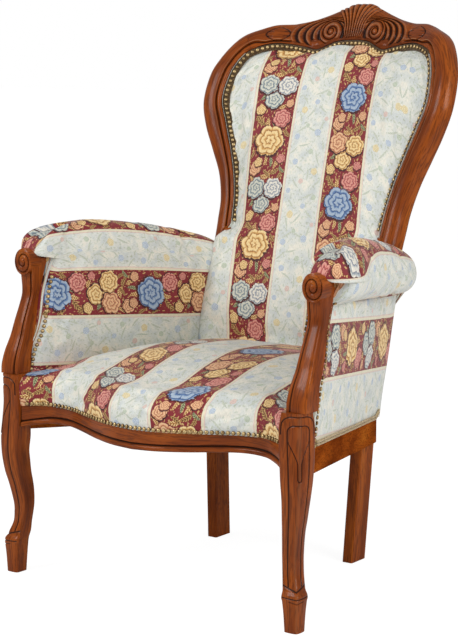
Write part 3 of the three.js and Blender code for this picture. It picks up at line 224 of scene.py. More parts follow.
def mirrored(body):
    """The same body on the other side of x = 0."""
    twin = {key: value.copy() for key, value in body.items()}
    twin["co"][:, 0] *= -1
    return outward(twin)


SHARP_EDGE, SHARP_CARVING = 48, 80  # degrees between two faces from which their edge is drawn sharp


def make_piece(name, bodies, material, replaced=(), sharp=SHARP_EDGE):
    """One mesh object at the origin from closed bodies, riding on the chair's only body."""
    def joined(key):
        return np.concatenate([b[key] for b in bodies])

    start = np.insert(np.cumsum([len(b["co"]) for b in bodies]), 0, 0)
    quads = np.concatenate([b["quads"] + s for b, s in zip(bodies, start)])
    tris = np.concatenate([b["tris"] + s for b, s in zip(bodies, start)])
    mesh = bpy.data.meshes.new(name)
    mesh.vertices.add(start[-1])
    place = joined("co") + [0.0, FRONT_AXIS, 0.0]
    mesh.vertices.foreach_set("co", place.ravel())
    corners = np.concatenate([quads.ravel(), tris.ravel()])
    mesh.loops.add(len(corners))
    mesh.loops.foreach_set("vertex_index", corners.astype(np.int32))
    mesh.polygons.add(len(quads) + len(tris))
    firsts = np.concatenate([4 * np.arange(len(quads)), quads.size + 3 * np.arange(len(tris))])
    mesh.polygons.foreach_set("loop_start", firsts.astype(np.int32))
    mesh.update(calc_edges=True)
    mesh.attributes.new("hollow", "FLOAT", "POINT").data.foreach_set("value", joined("hollow"))
    mesh.attributes.new("grain", "FLOAT_VECTOR", "POINT").data.foreach_set("vector", joined("grain").ravel())
    uv = np.concatenate([joined("quad_uv").reshape(-1, 2), joined("tri_uv").reshape(-1, 2)])
    mesh.uv_layers.new(name="cloth").data.foreach_set("uv", uv.ravel())
    mesh.polygons.foreach_set("use_smooth", np.ones(len(mesh.polygons), bool))
    mesh.set_sharp_from_angle(angle=np.radians(sharp))
    mesh.materials.append(material)
    piece = bpy.data.objects.new(name, mesh)
    scene.collection.objects.link(piece)
    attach(piece, "root")
    if replaced:
        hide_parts(*replaced)
    print(f"{name}: {len(mesh.polygons)} faces")
    return piece


def both_sides(name, bodies, material, replaced=(), sharp=SHARP_EDGE):
    """The right piece from the bodies and the left one from their twins, each named for its side."""
    for side, made in zip(SIDES, (bodies, [mirrored(body) for body in bodies])):
        make_piece(f"{name}_{side}", made, material, [f"{node}_{side}" for node in replaced], sharp)


# %% [markdown]
# ## Letting the cloth settle
# A stuffed cover is held at its nailed edges and pushed out by the stuffing. Blender's Cloth does the
# same: `held` points stay, air pressure stands for the stuffing, and the cloth is cut a little too large
# so that it pulls into soft unevenness. Gravity is off. Each point's move is capped, so that the sewn form
# stays, and the result is kept. The UV map is that of the cloth as it was cut.

# %% Helper for padded cloth
HELD_LEVELS = 10  # steps of holding between free and pinned


def settle(piece, held, pressure, most, steps=12):
    """Runs Cloth on the piece and keeps the result, no point moving further than `most` metres."""
    group = piece.vertex_groups.new(name="held")
    rank = np.round(np.clip(held, 0, 1) * HELD_LEVELS).astype(int)
    for level in range(1, HELD_LEVELS + 1):
        group.add(np.flatnonzero(rank == level).tolist(), level / HELD_LEVELS, "REPLACE")
    cloth = piece.modifiers.new("cloth", "CLOTH")
    work = cloth.settings
    work.quality, work.mass, work.air_damping = 6, 0.35, 4.0
    work.tension_stiffness, work.compression_stiffness = 22, 22
    work.shear_stiffness, work.bending_stiffness = 10, 1.2
    work.use_pressure, work.uniform_pressure_force, work.shrink_min = True, pressure, -0.012
    work.vertex_group_mass, work.effector_weights.gravity = "held", 0.0
    cloth.point_cache.frame_start, cloth.point_cache.frame_end = 1, steps
    before = np.empty(3 * len(piece.data.vertices), np.float32)
    piece.data.vertices.foreach_get("co", before)
    for step in range(1, steps + 1):
        scene.frame_set(step)
    after = np.empty_like(before)
    piece.evaluated_get(bpy.context.evaluated_depsgraph_get()).data.vertices.foreach_get("co", after)
    piece.modifiers.remove(cloth)
    piece.vertex_groups.clear()
    scene.frame_set(1)
    move = (after - before).reshape(-1, 3)
    size = np.linalg.norm(move, axis=1, keepdims=True)
    move *= np.minimum(1, most / np.maximum(size, 1e-9))
    piece.data.vertices.foreach_set("co", (before.reshape(-1, 3) + move).ravel())
    piece.data.update()
    mean, top = 1000 * size.mean(), 1000 * size.max()
    print(f"{piece.name}: cloth moved {mean:.1f} mm on average and {top:.1f} mm at most",
          f"before the cap of {1000 * most:.0f} mm")


def free_middle(rows, cols, row_edge, col_edge, hold=1):
    """1 on the first `hold` rows round a grid, falling smoothly to 0 over the next rows and columns."""
    row, col = np.arange(rows)[:, None] - hold, np.arange(cols)[None, :] - hold
    inward = np.minimum(np.minimum(row, rows - 1 - 2 * hold - row) / row_edge,
                        np.minimum(col, cols - 1 - 2 * hold - col) / col_edge)
    return 1 - ease(inward)


# %% [markdown]
# ## Writing materials shortly
# A material is a network of nodes. `Graph` makes a node, sets its inputs and gives back its output, so
# that a network reads like a sum: `times`, `plus`, `minus`, `over` and `times_plus` are one Math node each.
# Effects that several materials share are node groups.

# %% Helpers for shader nodes
def paint(text):
    """A colour written #RRGGBB, as the linear red, green and blue that a shader uses."""
    value = np.array([int(text[i:i + 2], 16) for i in (1, 3, 5)]) / 255
    linear = np.where(value <= 0.04045, value / 12.92, ((value + 0.055) / 1.055) ** 2.4)
    return (*linear.tolist(), 1.0)


class Graph:
    """A node tree in which each call adds one node and returns its first output."""

    def __init__(self, tree):
        self.tree = tree

    def fill(self, made, inputs):
        """Links a node's input to another's output, or sets its number."""
        for key, value in inputs.items():
            if isinstance(value, bpy.types.NodeSocket):
                self.tree.links.new(value, made.inputs[key])
            else:
                made.inputs[key].default_value = value
        return made

    def node(self, kind, inputs, **settings):
        made = self.tree.nodes.new(kind)
        for key, value in settings.items():
            setattr(made, key, value)
        return self.fill(made, inputs)

    def math(self, operation, *values):
        return self.node("ShaderNodeMath", dict(enumerate(values)), operation=operation).outputs[0]

    def plus(self, a, b):
        return self.math("ADD", a, b)

    def minus(self, a, b):
        return self.math("SUBTRACT", a, b)

    def times(self, a, b):
        return self.math("MULTIPLY", a, b)

    def over(self, a, b):
        return self.math("DIVIDE", a, b)

    def times_plus(self, a, b, c):
        return self.math("MULTIPLY_ADD", a, b, c)

    def vector(self, operation, *values, out=0):
        return self.node("ShaderNodeVectorMath", dict(enumerate(values)), operation=operation).outputs[out]

    def blend(self, share, a, b, way="MIX"):
        return self.node("ShaderNodeMix", {0: share, 6: a, 7: b}, data_type="RGBA", blend_type=way).outputs[2]

    def step(self, value, low, high, to_low=0.0, to_high=1.0):
        """Goes smoothly from one value to another while the input goes from low to high."""
        return self.node("ShaderNodeMapRange", {0: value, 1: low, 2: high, 3: to_low, 4: to_high},
                         interpolation_type="SMOOTHSTEP").outputs[0]

    def scaled(self, place, factors):
        return self.vector("MULTIPLY", place, factors)

    def lerp(self, share, a, b):
        """The number a share of the way from a to b."""
        return self.node("ShaderNodeMix", {0: share, 2: a, 3: b}).outputs[0]

    def bump(self, height, strength, distance):
        return self.node("ShaderNodeBump", {"Height": height, "Strength": strength,
                                            "Distance": distance}).outputs[0]

    def attribute(self, name, out):
        return self.node("ShaderNodeAttribute", {}, attribute_name=name).outputs[out]

    def cloth_place(self):
        """The place on the cloth as it was cut, in metres."""
        return self.node("ShaderNodeUVMap", {}, uv_map="cloth").outputs[0]

    def object_place(self):
        return self.node("ShaderNodeTexCoord", {}).outputs["Object"]

    def turned_place(self, turn):
        """Object coordinates, turned so that the third one runs along the solid."""
        return self.node("ShaderNodeMapping", {0: self.object_place(), "Rotation": turn}).outputs[0]

    def noise(self, place, scale, detail=3.0, rough=0.5, out=0):
        return self.node("ShaderNodeTexNoise", {"Vector": place, "Scale": scale, "Detail": detail,
                                                "Roughness": rough}).outputs[out]

    def ramp(self, value, stops):
        made = self.node("ShaderNodeValToRGB", {0: value})
        elements = made.color_ramp.elements
        while len(elements) < len(stops):
            elements.new(0.5)
        for element, (place, colour) in zip(elements, stops):
            element.position = place
            element.color = paint(colour)
        return made.outputs[0]

    def join(self, x, y, z=0.0):
        return self.node("ShaderNodeCombineXYZ", {0: x, 1: y, 2: z}).outputs[0]

    def split(self, vector):
        return self.node("ShaderNodeSeparateXYZ", {0: vector}).outputs

    def group(self, name, inputs):
        return self.fill(self.node("ShaderNodeGroup", {}, node_tree=bpy.data.node_groups[name]), inputs).outputs


SOCKETS = {"colour": "NodeSocketColor", "number": "NodeSocketFloat", "vector": "NodeSocketVector"}


def new_group(name, inputs, outputs):
    """An empty node group with named sockets: its graph, its inputs and a call that sets an output."""
    tree = bpy.data.node_groups.new(name, "ShaderNodeTree")
    for label, kind in inputs:
        tree.interface.new_socket(label, in_out="INPUT", socket_type=SOCKETS[kind])
    for label, kind in outputs:
        tree.interface.new_socket(label, in_out="OUTPUT", socket_type=SOCKETS[kind])
    enter, leave = tree.nodes.new("NodeGroupInput"), tree.nodes.new("NodeGroupOutput")
    return Graph(tree), enter.outputs, lambda label, value: tree.links.new(value, leave.inputs[label])


def new_material(name, **plain):
    """A material with one Principled BSDF, whose plain settings are numbers on its own sockets."""
    material = bpy.data.materials.new(name)
    material.use_nodes = True
    shader = material.node_tree.nodes["Principled BSDF"]
    for key, value in plain.items():
        shader.inputs[key.replace("_", " ")].default_value = value
    return material, Graph(material.node_tree), shader


def feed(graph, shader, **inputs):
    """Links values to the shader's sockets; an underscore in a name stands for a space."""
    for key, value in inputs.items():
        graph.tree.links.new(value, shader.inputs[key.replace("_", " ")])


# %% [markdown]
# ## Polished wood
# The frame is beech stained to a warm walnut and polished. Three things make it read as wood: long
# figure that follows each member, fine pores along the grain, and the dark stain left in every carved
# hollow, while a pale highlight is painted along the ridges. The group takes the `grain` place and the
# `hollow` depth.

# %% Wood figure group
graph, given, give = new_group("wood_figure", [("Grain", "vector"), ("Hollow", "number")],
                               [("Colour", "colour"), ("Tone", "number"), ("Roughness", "number"),
                                ("Height", "number")])
sway = graph.vector("SUBTRACT", graph.noise(given["Grain"], 5.0, 2.0, out=1), (0.5, 0.5, 0.5))
bent = graph.vector("ADD", given["Grain"], graph.scaled(sway, (0.03, 0.03, 0.03)))
figure = graph.noise(graph.scaled(bent, (34.0, 34.0, 3.2)), 1.0, 4.0, 0.55)
pores = graph.noise(graph.scaled(bent, (420.0, 420.0, 16.0)), 1.0, 2.0, 0.6)
clouds = graph.noise(given["Grain"], 9.0, 2.0)
tone = graph.plus(graph.times(figure, 0.75), graph.times(clouds, 0.35))
wood = graph.ramp(tone, [(0.28, "#4C1E08"), (0.47, "#793710"), (0.62, "#964A16"), (0.80, "#B26420")])
pore_mask = graph.step(pores, 0.40, 0.52, 0.55, 0.0)
wood = graph.blend(pore_mask, wood, paint("#48200C"))
carving_tone = graph.step(given["Hollow"], 0.0, 1.0)
wood = graph.blend(graph.times(carving_tone, 0.95), wood, paint("#1E0B05"))
# Below zero, on ridges and arrises, the colour is lightened towards a pale tan: a painted highlight.
painted_ridge_highlight = graph.step(given["Hollow"], 0.0, -1.0, 0.0, 0.75)
wood = graph.blend(painted_ridge_highlight, wood, paint("#C2926A"))
give("Colour", wood)
give("Tone", tone)
give("Roughness", graph.plus(graph.times(clouds, 0.14), graph.plus(graph.times(carving_tone, 0.25), 0.24)))
give("Height", graph.plus(graph.times(pores, 0.5), figure))


def wood_material(name, place, coat, shine):
    """Walnut-coloured wood; the grain follows the attribute "grain" or Object coordinates turned by `place`."""
    material, graph, shader = new_material(name, Coat_Weight=coat, Coat_Roughness=0.14,
                                           Specular_IOR_Level=shine)
    if place == "grain":
        grain = graph.attribute("grain", "Vector")
        hollow = graph.attribute("hollow", "Fac")
    else:
        grain = graph.turned_place(place)
        hollow = 0.0
    out = graph.group("wood_figure", {"Grain": grain, "Hollow": hollow})
    bump = graph.bump(out["Height"], 0.16, 0.0006)
    feed(graph, shader, Base_Color=out["Colour"], Roughness=out["Roughness"], Normal=bump)
    return material


ALONG_X, ALONG_Y, ALONG_Z = (0.0, np.pi / 2, 0.0), (np.pi / 2, 0.0, 0.0), (0.0, 0.0, 0.0)
carved_wood = wood_material("carved_walnut", "grain", 0.14, 0.08)
upright_wood = wood_material("upright_walnut", ALONG_Z, 0.04, 0.05)
side_rail_wood = wood_material("side_rail_walnut", ALONG_Y, 0.0, 0.0)
back_rail_wood = wood_material("back_rail_walnut", ALONG_X, 0.0, 0.0)
print("wood materials:", carved_wood.name, upright_wood.name, side_rail_wood.name, back_rail_wood.name)

# %% [markdown]
# ## The hollow back
# Seen from above, the back is hollow: its sides come forward by 94 mm. Seen from the side it sweeps
# backwards as it rises. One formula gives the depth of this surface at any place, and everything on
# the back, frame, carving, nails and cloth, is measured from it along its own normal.

# %% The back's surface
OVERALL, BACK_HALF, BACK_HOLLOW, BACK_DEPTH = 1.1, 0.28, 0.094, 0.042
BACK_LINE = [  # height share, depth share on the middle line, share of the hollow
    (0.2545, 1, 0.35), (0.3273, 1.006, 0.38), (0.4091, 1.0556, 0.75), (0.5, 1.1457, 1), (0.6, 1.2365, 1),
    (0.7273, 1.3531, 1), (0.8636, 1.4778, 1), (0.9455, 1.5527, 1), (1, 1.602, 1)]


def back_depth(x, z):
    """Depth of the back's face: the middle line's depth, less the hollow times (x / half width) squared."""
    line = fair(BACK_LINE, z / OVERALL)
    return LEG_SPAN * line[..., 0] - BACK_HOLLOW * line[..., 1] * (x / BACK_HALF) ** 2


def on_back(x, z, depth):
    """Points `depth` behind the back's face, along its normal."""
    x, z, depth = np.broadcast_arrays(x, z, depth)
    step = 0.004  # over which the surface's slope is taken
    slope_x = (back_depth(x + step, z) - back_depth(x - step, z)) / (2 * step)
    slope_z = (back_depth(x, z + step) - back_depth(x, z - step)) / (2 * step)
    normal = unit(np.stack([-slope_x, np.ones_like(slope_x), -slope_z], -1))
    return np.stack([x, back_depth(x, z), z], -1) + normal * depth[..., None]


STILE = np.array([  # inner edge's height and half width, outer edge's height and half width, as shares
    (0.2654, 0.589, 0.2654, 0.709), (0.4091, 0.6, 0.4091, 0.721), (0.5455, 0.632, 0.5455, 0.739),
    (0.6, 0.646, 0.6, 0.75), (0.6364, 0.661, 0.6364, 0.761), (0.6818, 0.7, 0.6818, 0.804),
    (0.7273, 0.757, 0.7273, 0.879), (0.7727, 0.821, 0.7727, 0.954), (0.8182, 0.879, 0.8182, 1),
    (0.8636, 0.866, 0.8682, 0.993), (0.8891, 0.832, 0.8982, 0.954), (0.9045, 0.793, 0.9255, 0.893),
    (0.9127, 0.75, 0.9436, 0.825)])
CREST = np.array([
    (0.9127, 0.75, 0.9436, 0.825), (0.92, 0.679, 0.9555, 0.725), (0.9236, 0.589, 0.9636, 0.629),
    (0.9209, 0.464, 0.9655, 0.489), (0.9155, 0.357, 0.9718, 0.371), (0.9118, 0.286, 0.9782, 0.296),
    (0.9182, 0.214, 0.9845, 0.232), (0.9264, 0.143, 0.9918, 0.164), (0.9291, 0.071, 0.9991, 0.086),
    (0.9295, 0, 1, 0)])
FRAME_EDGES = np.concatenate([STILE, CREST[1:]]) * [OVERALL, BACK_HALF, OVERALL, BACK_HALF]
SEAM_ROW = len(STILE) - 1
print("back at the crest lies", round(float(back_depth(0.0, OVERALL)), 3), "m behind the front legs")

# %% [markdown]
# ## The moulded back frame
# A spindle moulder cuts the stiles' section: a round bead beside the cloth, a deep dark groove, a crisp
# arris, then a broad band falling away to the outer edge. The section is a profile, share across
# against depth, carried along the frame's two edge lines.

# %% Stiles
FRAME_SECTION = np.array([  # share across from the inner edge, depth in metres
    (0, 0.0080), (0.012, 0.0040), (0.04, 0.0018), (0.09, 0.0004), (0.15, 0.0000), (0.21, 0.0006),
    (0.26, 0.0022), (0.295, 0.0046), (0.325, 0.0058), (0.35, 0.0052), (0.375, 0.0030), (0.39, 0.0014),
    (0.405, 0.0009), (0.43, 0.0009), (0.5, 0.0014), (0.6, 0.0026), (0.7, 0.0042), (0.8, 0.0067),
    (0.88, 0.0096), (0.94, 0.0130), (0.98, 0.0165), (1, 0.0205), (1, 0.0300), (0.975, 0.0370),
    (0.93, 0.0405), (0.86, 0.0418), (0.5, 0.0420), (0.12, 0.0420), (0.04, 0.0405), (0, 0.0360), (0, 0.022)])


def frame_rings(edges, section):
    """The section set between each row's inner and outer edge points."""
    share, depth = section[:, 0], section[:, 1]
    z = mix(edges[:, :1], edges[:, 2:3], share)
    x = mix(edges[:, 1:2], edges[:, 3:4], share)
    return on_back(x, z, np.broadcast_to(depth, x.shape))


GROOVE, ARRIS = (0.325, 0.032), (0.415, 0.012)  # share across and width of the stain and of the bright edge
FRONT_FACE = 0.02  # the section's points less deep than this lie on its face


def section_hollow(section, count):
    """How dark the wood is made across the section: stain in the groove, darker at the cloth's edge, and a
    painted highlight (below zero) along the arris.
    """
    share, facing = section[:, 0], section[:, 1] < FRONT_FACE
    groove = cut(share - GROOVE[0], GROOVE[1]) * facing
    edge = (share < 0.02) * 0.8 * facing
    painted_arris_highlight = -0.9 * cut(share - ARRIS[0], ARRIS[1]) * facing
    return np.tile(np.clip(groove + edge, 0, 1) + painted_arris_highlight, (count, 1))


def frame_edges(start, end, count):
    """`count` fair rows of the two edge lines between two of the known rows."""
    rows = np.column_stack([np.arange(len(FRAME_EDGES)), FRAME_EDGES])
    return fair(rows, np.linspace(start, end, count))


SEAM = 0.00016  # by which a part is cut short of its neighbour
WAIST_SCROLL = (0.66 * BACK_HALF, 0.629)
SCROLL_EYE = 0.30  # the eye's share of a scroll's radius


def scroll_disc(x, z, radius, rise, turns, face, into, rows, around):
    """A round scroll: a spiral groove cut in a domed disc. Its relief is a wave of the distance out less
    the angle, so that the groove winds inwards; `face` turns width, height and depth into a point."""
    share = np.linspace(0.0, 1.0, rows)[:, None]
    angle = circle(around)[None, :]
    phase = (share * turns - angle / (2 * np.pi)) % 1.0
    band = np.abs(np.sin(np.pi * phase)) ** 0.55
    eye = ease((SCROLL_EYE - share) / 0.12)
    outside = ease((share - 0.9) / 0.1)
    ball = np.sqrt(np.clip(1 - (share / SCROLL_EYE) ** 2, 0, 1)) * 1.1
    height = mix(mix(band, ball, eye), 0.75, outside * 0.6)
    lift = rise * (height - 0.35) + rise * 0.5 * (1 - share)
    hollow = np.clip(1.15 - 1.6 * band, 0, 1) * (1 - eye) * (1 - outside)
    front = face(x + radius[0] * share * np.cos(angle), z + radius[1] * share * np.sin(angle), -lift)
    rim = [face(x + radius[0] * np.cos(angle), z + radius[1] * np.sin(angle), np.full_like(angle, d))
           for d in (rise * 0.4, into)]
    rings = np.concatenate([front[1:], *rim])
    return tube(rings, np.concatenate([hollow[1:], np.zeros((2, around))]))


def cut_short(rings, end, next_to_end):
    """Draws an end ring in by the seam, towards the ring next to it."""
    rings[end] += SEAM * unit(rings[next_to_end].mean(axis=0) - rings[end].mean(axis=0))


STILE_ROWS = 190
stile_rings = frame_rings(frame_edges(0, SEAM_ROW, STILE_ROWS), FRAME_SECTION)
cut_short(stile_rings, -1, -2)
stile = tube(stile_rings, section_hollow(FRAME_SECTION, STILE_ROWS))
waist = scroll_disc(*WAIST_SCROLL, (0.0105, 0.0105), 0.003, 1.5, on_back, 0.02, 14, 40)
both_sides("stile_carved", [stile, waist], carved_wood, ["back_stile"])

# %% [markdown]
# ## The carved crest
# A carver draws the ornament full size, sinks the ground round it with gouges, models the forms and
# leaves dark stain in the hollows. The drawing here is a height map over the crest's face: a fan of nine
# flutes that curl outwards over two spiral volutes, feathered leaves lapping round each volute, and a
# low cartouche beyond them. Each form gives a `rise` from 0 in a cut to 1 on a ridge.

# %% The ornament's forms
VOLUTE, VOLUTE_RADIUS, VOLUTE_TURNS, EYE = (0.0535, 1.0395), 0.0262, 2.6, 0.0072
FAN_BASE, FAN_HEIGHT, FLUTES = 1.0215, 0.0785, 9
CARTOUCHE, LEAF_END, LEAVES_EACH = (0.166, 1.0365), 0.090, 4


def fan_of_flutes(x, z):
    """How far out of the fan a point lies (1 at its edge) and the rise of its flute: a power of the
    cosine of the share across. The fan keeps a waist between the volutes, then opens."""
    up = (z - FAN_BASE) / FAN_HEIGHT
    opening = np.clip((up - 0.35) / 0.6, 0, None) ** 1.6
    share = x / (0.018 + 0.007 * ease(up / 0.3) + 0.035 * opening)
    return share, np.abs(np.cos(np.pi * FLUTES / 2 * share)) ** 0.65


def spiral_volute(x, z):
    """Distance from the volute's centre and its rise: a wave of the distance less the angle, so that the
    ridge winds in clockwise to a round eye."""
    dx, dz = x - VOLUTE[0], z - VOLUTE[1]
    reach = np.hypot(dx, dz)
    phase = VOLUTE_TURNS * (reach / VOLUTE_RADIUS) ** 0.8 - np.arctan2(dz, dx) / (2 * np.pi)
    band = np.abs(np.sin(np.pi * phase)) ** 0.6 * ease((VOLUTE_RADIUS - reach) / 0.0025)
    eye = np.sqrt(np.clip(1 - (reach / EYE) ** 2, 0, 1))
    return reach, np.where(reach < EYE, eye, band * ease((reach - EYE) / 0.0012))


def lapped_leaves(x, z):
    """Half width of the ellipse round the volute on which a point lies, and its leaf's rise: a slow
    climb to the leaf's outer edge, then a steep fall to the next."""
    dx, dz = x - VOLUTE[0], z - VOLUTE[1] + 0.006
    wide = np.hypot(dx, dz)
    for _ in range(10):
        tall = 0.0275 + 0.19 * (wide - VOLUTE_RADIUS)
        wide = np.sqrt(dx**2 + (wide / tall * dz) ** 2)
    share = np.clip((wide - VOLUTE_RADIUS) / (LEAF_END - VOLUTE_RADIUS), 0, 1) ** 0.9 * LEAVES_EACH
    part = share % 1.0
    return wide, ease(part / 0.75) * (1 - ease((part - 0.84) / 0.16)) * (share < LEAVES_EACH)


# %% [markdown]
# The forms are laid over the moulded rail: each point of the face takes the fan's, the volute's or the
# leaf's rise, and outside them the moulding and the cartouche. The same numbers say where stain stays
# and where a highlight is painted on the ridges and the arris.

# %% Crest
FACE_POINTS = 22  # the section's points from the inner edge to the outer one
face_share = np.concatenate([np.linspace(0, 0.04, 6), np.linspace(0.05, 0.97, 108), np.linspace(0.975, 1, 6)])
PLAIN_FACE = np.array([  # share across, depth: the moulding without its groove
    (0, 0.008), (0.012, 0.004), (0.04, 0.0022), (0.1, 0.001), (0.3, 0.0008), (0.5, 0.0014), (0.6, 0.0026),
    (0.7, 0.0042), (0.8, 0.0067), (0.88, 0.0096), (0.94, 0.0130), (0.98, 0.0165), (1, 0.0205)])
plain_depth = np.interp(face_share, PLAIN_FACE[:, 0], PLAIN_FACE[:, 1])
crest_half = frame_edges(SEAM_ROW, len(FRAME_EDGES) - 1, 300)
crest_edges = np.concatenate([crest_half * [1, -1, 1, -1], crest_half[-2::-1]])
low_z, low_x, top_z, top_x = (crest_edges[:, k:k + 1] for k in range(4))
x, z = np.abs(mix(low_x, top_x, face_share)), mix(low_z, top_z, face_share)

fan_share, fan_rise = fan_of_flutes(x, z)
reach, volute_rise = spiral_volute(x, z)
leaf_wide, leaf_rise = lapped_leaves(x, z)
in_fan, in_volute = fan_share < 1, (fan_share >= 1) & (reach < VOLUTE_RADIUS)
in_leaf = ~in_fan & ~in_volute & (leaf_wide < LEAF_END)
above = ease((z - low_z - 0.0035) / 0.004)
cusp = in_leaf * ease((VOLUTE[0] + 0.043 - x) / 0.006) * ease((VOLUTE[1] - 0.0150 - z) / 0.004)
dome = np.exp(-((x - 0.078) / 0.012) ** 2 - ((z - 1.014) / 0.007) ** 2)
leaf_rise = mix(leaf_rise, 0.3 + 0.6 * dome, cusp)
rise = np.select([in_fan, in_volute, in_leaf], [fan_rise, volute_rise, leaf_rise], 0.5)
carved = in_fan | in_volute | in_leaf
field = above * np.where(in_leaf, 1 - ease((leaf_wide - LEAF_END + 0.006) / 0.006), 1.0) * carved
swell = np.where(in_volute, 0.0024 * (1 - (reach / VOLUTE_RADIUS) ** 2), 0.0) + np.where(in_fan, 0.0008, 0.0)

lens_x, lens_z = np.abs(x - CARTOUCHE[0]), z - CARTOUCHE[1]
lens = lens_x / 0.024 + (lens_z / 0.0165) ** 2
notch = cut(np.abs(lens_z) - 0.0052, 0.0011) * ease((lens_x - 0.008) / 0.004) * (lens < 1)
rim = cut(lens - 1, 0.10) + 0.8 * notch
without_groove = 1 - ease((x - 0.128) / 0.016)
moulded = np.maximum(face_share, 1e-6) ** mix(0.55, 1.0, ease((x - 0.185) / 0.03))
moulded_depth = np.interp(moulded, FRAME_SECTION[:FACE_POINTS, 0], FRAME_SECTION[:FACE_POINTS, 1])
depth = mix(moulded_depth, plain_depth, without_groove) + field * (0.0026 - 0.0050 * rise - swell)
depth = depth + (1 - field) * (0.0015 * rim - 0.0012 * ease((1 - lens) / 0.3))
# Stain in the cuts, the groove and the cartouche's rim; below zero, on the ridges and the arris, a pale
# highlight is painted. The strip next to the cloth is made darker.
carving_tone = np.clip(1.25 - 1.6 * rise, -0.5, 1) * field + (1 - field) * (
    0.3 * without_groove + 0.85 * rim + (1 - without_groove) * cut(moulded - GROOVE[0], GROOVE[1])
    - 0.8 * (1 - without_groove) * cut(moulded - ARRIS[0], ARRIS[1]))
carving_tone = np.clip(mix(carving_tone, 0.1, cusp * field) + 0.8 * (face_share < 0.02), -1, 1)

face = on_back(mix(low_x, top_x, face_share), z, depth)
rest = frame_rings(crest_edges, FRAME_SECTION[FACE_POINTS:])
crest_rings = np.concatenate([face, rest], axis=1)
cut_short(crest_rings, 0, 1)
cut_short(crest_rings, -1, -2)
make_piece("crest_carved", [tube(crest_rings, np.hstack([carving_tone, np.zeros(rest.shape[:2])]))], carved_wood,
           ["crest_rail"], SHARP_CARVING)
print(f"carved relief: {1000 * (depth.max() - depth.min()):.1f} mm over the face, rounded edge included")

# %% [markdown]
# ## Front legs
# A cabriole leg is sawn from the square: it swells at the knee, draws in above the foot and stands on a
# small block. Its sections lie on the corner's diagonal.

# %% Front legs
FRONT_HALF, JOINT_HEIGHT, KNEE_HALF, KNEE_OUT, KNEE_LEAN = 0.325, 0.388, 0.0296, 0.0265, 0.0036
LEG = [  # height, outward edge, inward edge and half width, as shares
    (0, 0.672, -0.694, 0.595), (0.088, 0.75, -0.79, 0.672), (0.142, 0.83, -0.86, 0.75),
    (0.158, 0.845, -0.887, 0.797), (0.173, 0.8, -0.93, 0.76), (0.188, 0.62, -1.0, 0.69),
    (0.206, 0.5, -1.075, 0.672), (0.253, 0.192, -1.155, 0.649), (0.3, 0.12, -1.27, 0.645),
    (0.343, 0.136, -1.347, 0.652), (0.407, 0.328, -1.347, 0.676), (0.46, 0.53, -1.26, 0.71),
    (0.505, 0.732, -1.155, 0.764), (0.56, 0.89, -1.09, 0.82), (0.613, 0.98, -1.04, 0.88),
    (0.688, 1, -1.155, 0.98), (0.773, 0.868, -1.13, 1.04), (0.856, 0.76, -1.13, 1.07),
    (0.93, 0.775, -1.13, 1.07), (1, 0.80, -1.13, 0.93)]
LEG_SECTION = np.array([(1, 0), (0.8, 0.36), (0.42, 0.76), (0, 1), (-0.42, 0.66), (-0.8, 0.28), (-1, 0),
                        (-0.8, -0.28), (-0.42, -0.66), (0, -1), (0.42, -0.76), (0.8, -0.36)])


def round_section(points, steps):
    """A closed section through the given corners, with so many points from each corner to the next."""
    around = np.concatenate([points[-3:], points, points[:4]])
    rows = np.column_stack([np.arange(-3, len(points) + 4), around])
    return fair(rows, np.concatenate([k + np.arange(count) / count for k, count in enumerate(steps)]))


def leg_rings(count, steps):
    """Rings of the right leg, each point's place outward and across its face, and the height, as shares."""
    height = np.linspace(0, 1, count)
    sizes = np.array([KNEE_OUT, KNEE_OUT, KNEE_HALF])[:, None, None]
    out, inward, width = fair(LEG, height).T[:, :, None] * sizes
    section = round_section(LEG_SECTION, steps)
    along_share, across_share = section[:, 0], section[:, 1]
    middle = (out + inward) / 2
    lean = KNEE_LEAN * ease((height[:, None] - 0.42) / 0.36)
    along = middle + along_share * np.where(along_share > 0, out - middle, middle - inward)
    across = across_share * width + lean
    x = FRONT_HALF + (along + across) / np.sqrt(2)
    y = (across - along) / np.sqrt(2)
    z = np.broadcast_to(JOINT_HEIGHT * height[:, None], x.shape)
    return np.stack([x, y, z], -1), along_share, across_share, height[:, None]


# %% [markdown]
# The knee's carving is cut with a V tool: two arches under the post, a border that follows both edges
# down to the ankle, a petal that narrows to a tongue on the ridge, and two chevrons round the ankle.
# Each cut is a line; `cut` turns the distance from it into a groove as deep as CUT_DEPTH.

# %% Leg carving
def arch(across, height, half, top, corner):
    """Distance in metres from a line that runs up one edge, over a round-cornered top and down again."""
    over = np.maximum(across - (half - corner), 0), np.maximum(height - (top - corner), 0)
    return np.hypot(*over) - corner


CUT_DEPTH, PETAL_RISE = 0.0014, 0.0006
ON_FRONT, ON_REAR = [20] * 3, [8] * 6  # points on each side of the section
rings, out_share, across_share, leg_height = leg_rings(430, ON_FRONT + ON_REAR + ON_FRONT)
face_width = KNEE_HALF * fair(LEG, leg_height[:, 0])[:, 2:3]
aside, place_z, front_part = np.abs(across_share), rings[..., 2], ease(out_share / 0.12)
across = aside * face_width
lower = cut(arch(across, place_z, 0.62 * face_width, 0.945 * JOINT_HEIGHT, 0.011), 0.0011)
lower *= ease((leg_height - 0.2) / 0.01)
upper = cut(arch(across, place_z, 0.93 * face_width, 0.984 * JOINT_HEIGHT, 0.014), 0.0011) * (leg_height > 0.9)
opening = np.clip((leg_height - 0.775) / 0.09, 0, 1)
tongue = 0.0036 + 0.0145 * opening ** 1.25
sides = cut(across - tongue, 0.0009) * ease((leg_height - 0.706) / 0.004)
sides *= 1 - ease((leg_height - 0.868) / 0.01)
tip = cut(np.hypot(across, place_z - 0.706 * JOINT_HEIGHT) - 0.0036, 0.0009) * (leg_height <= 0.71)
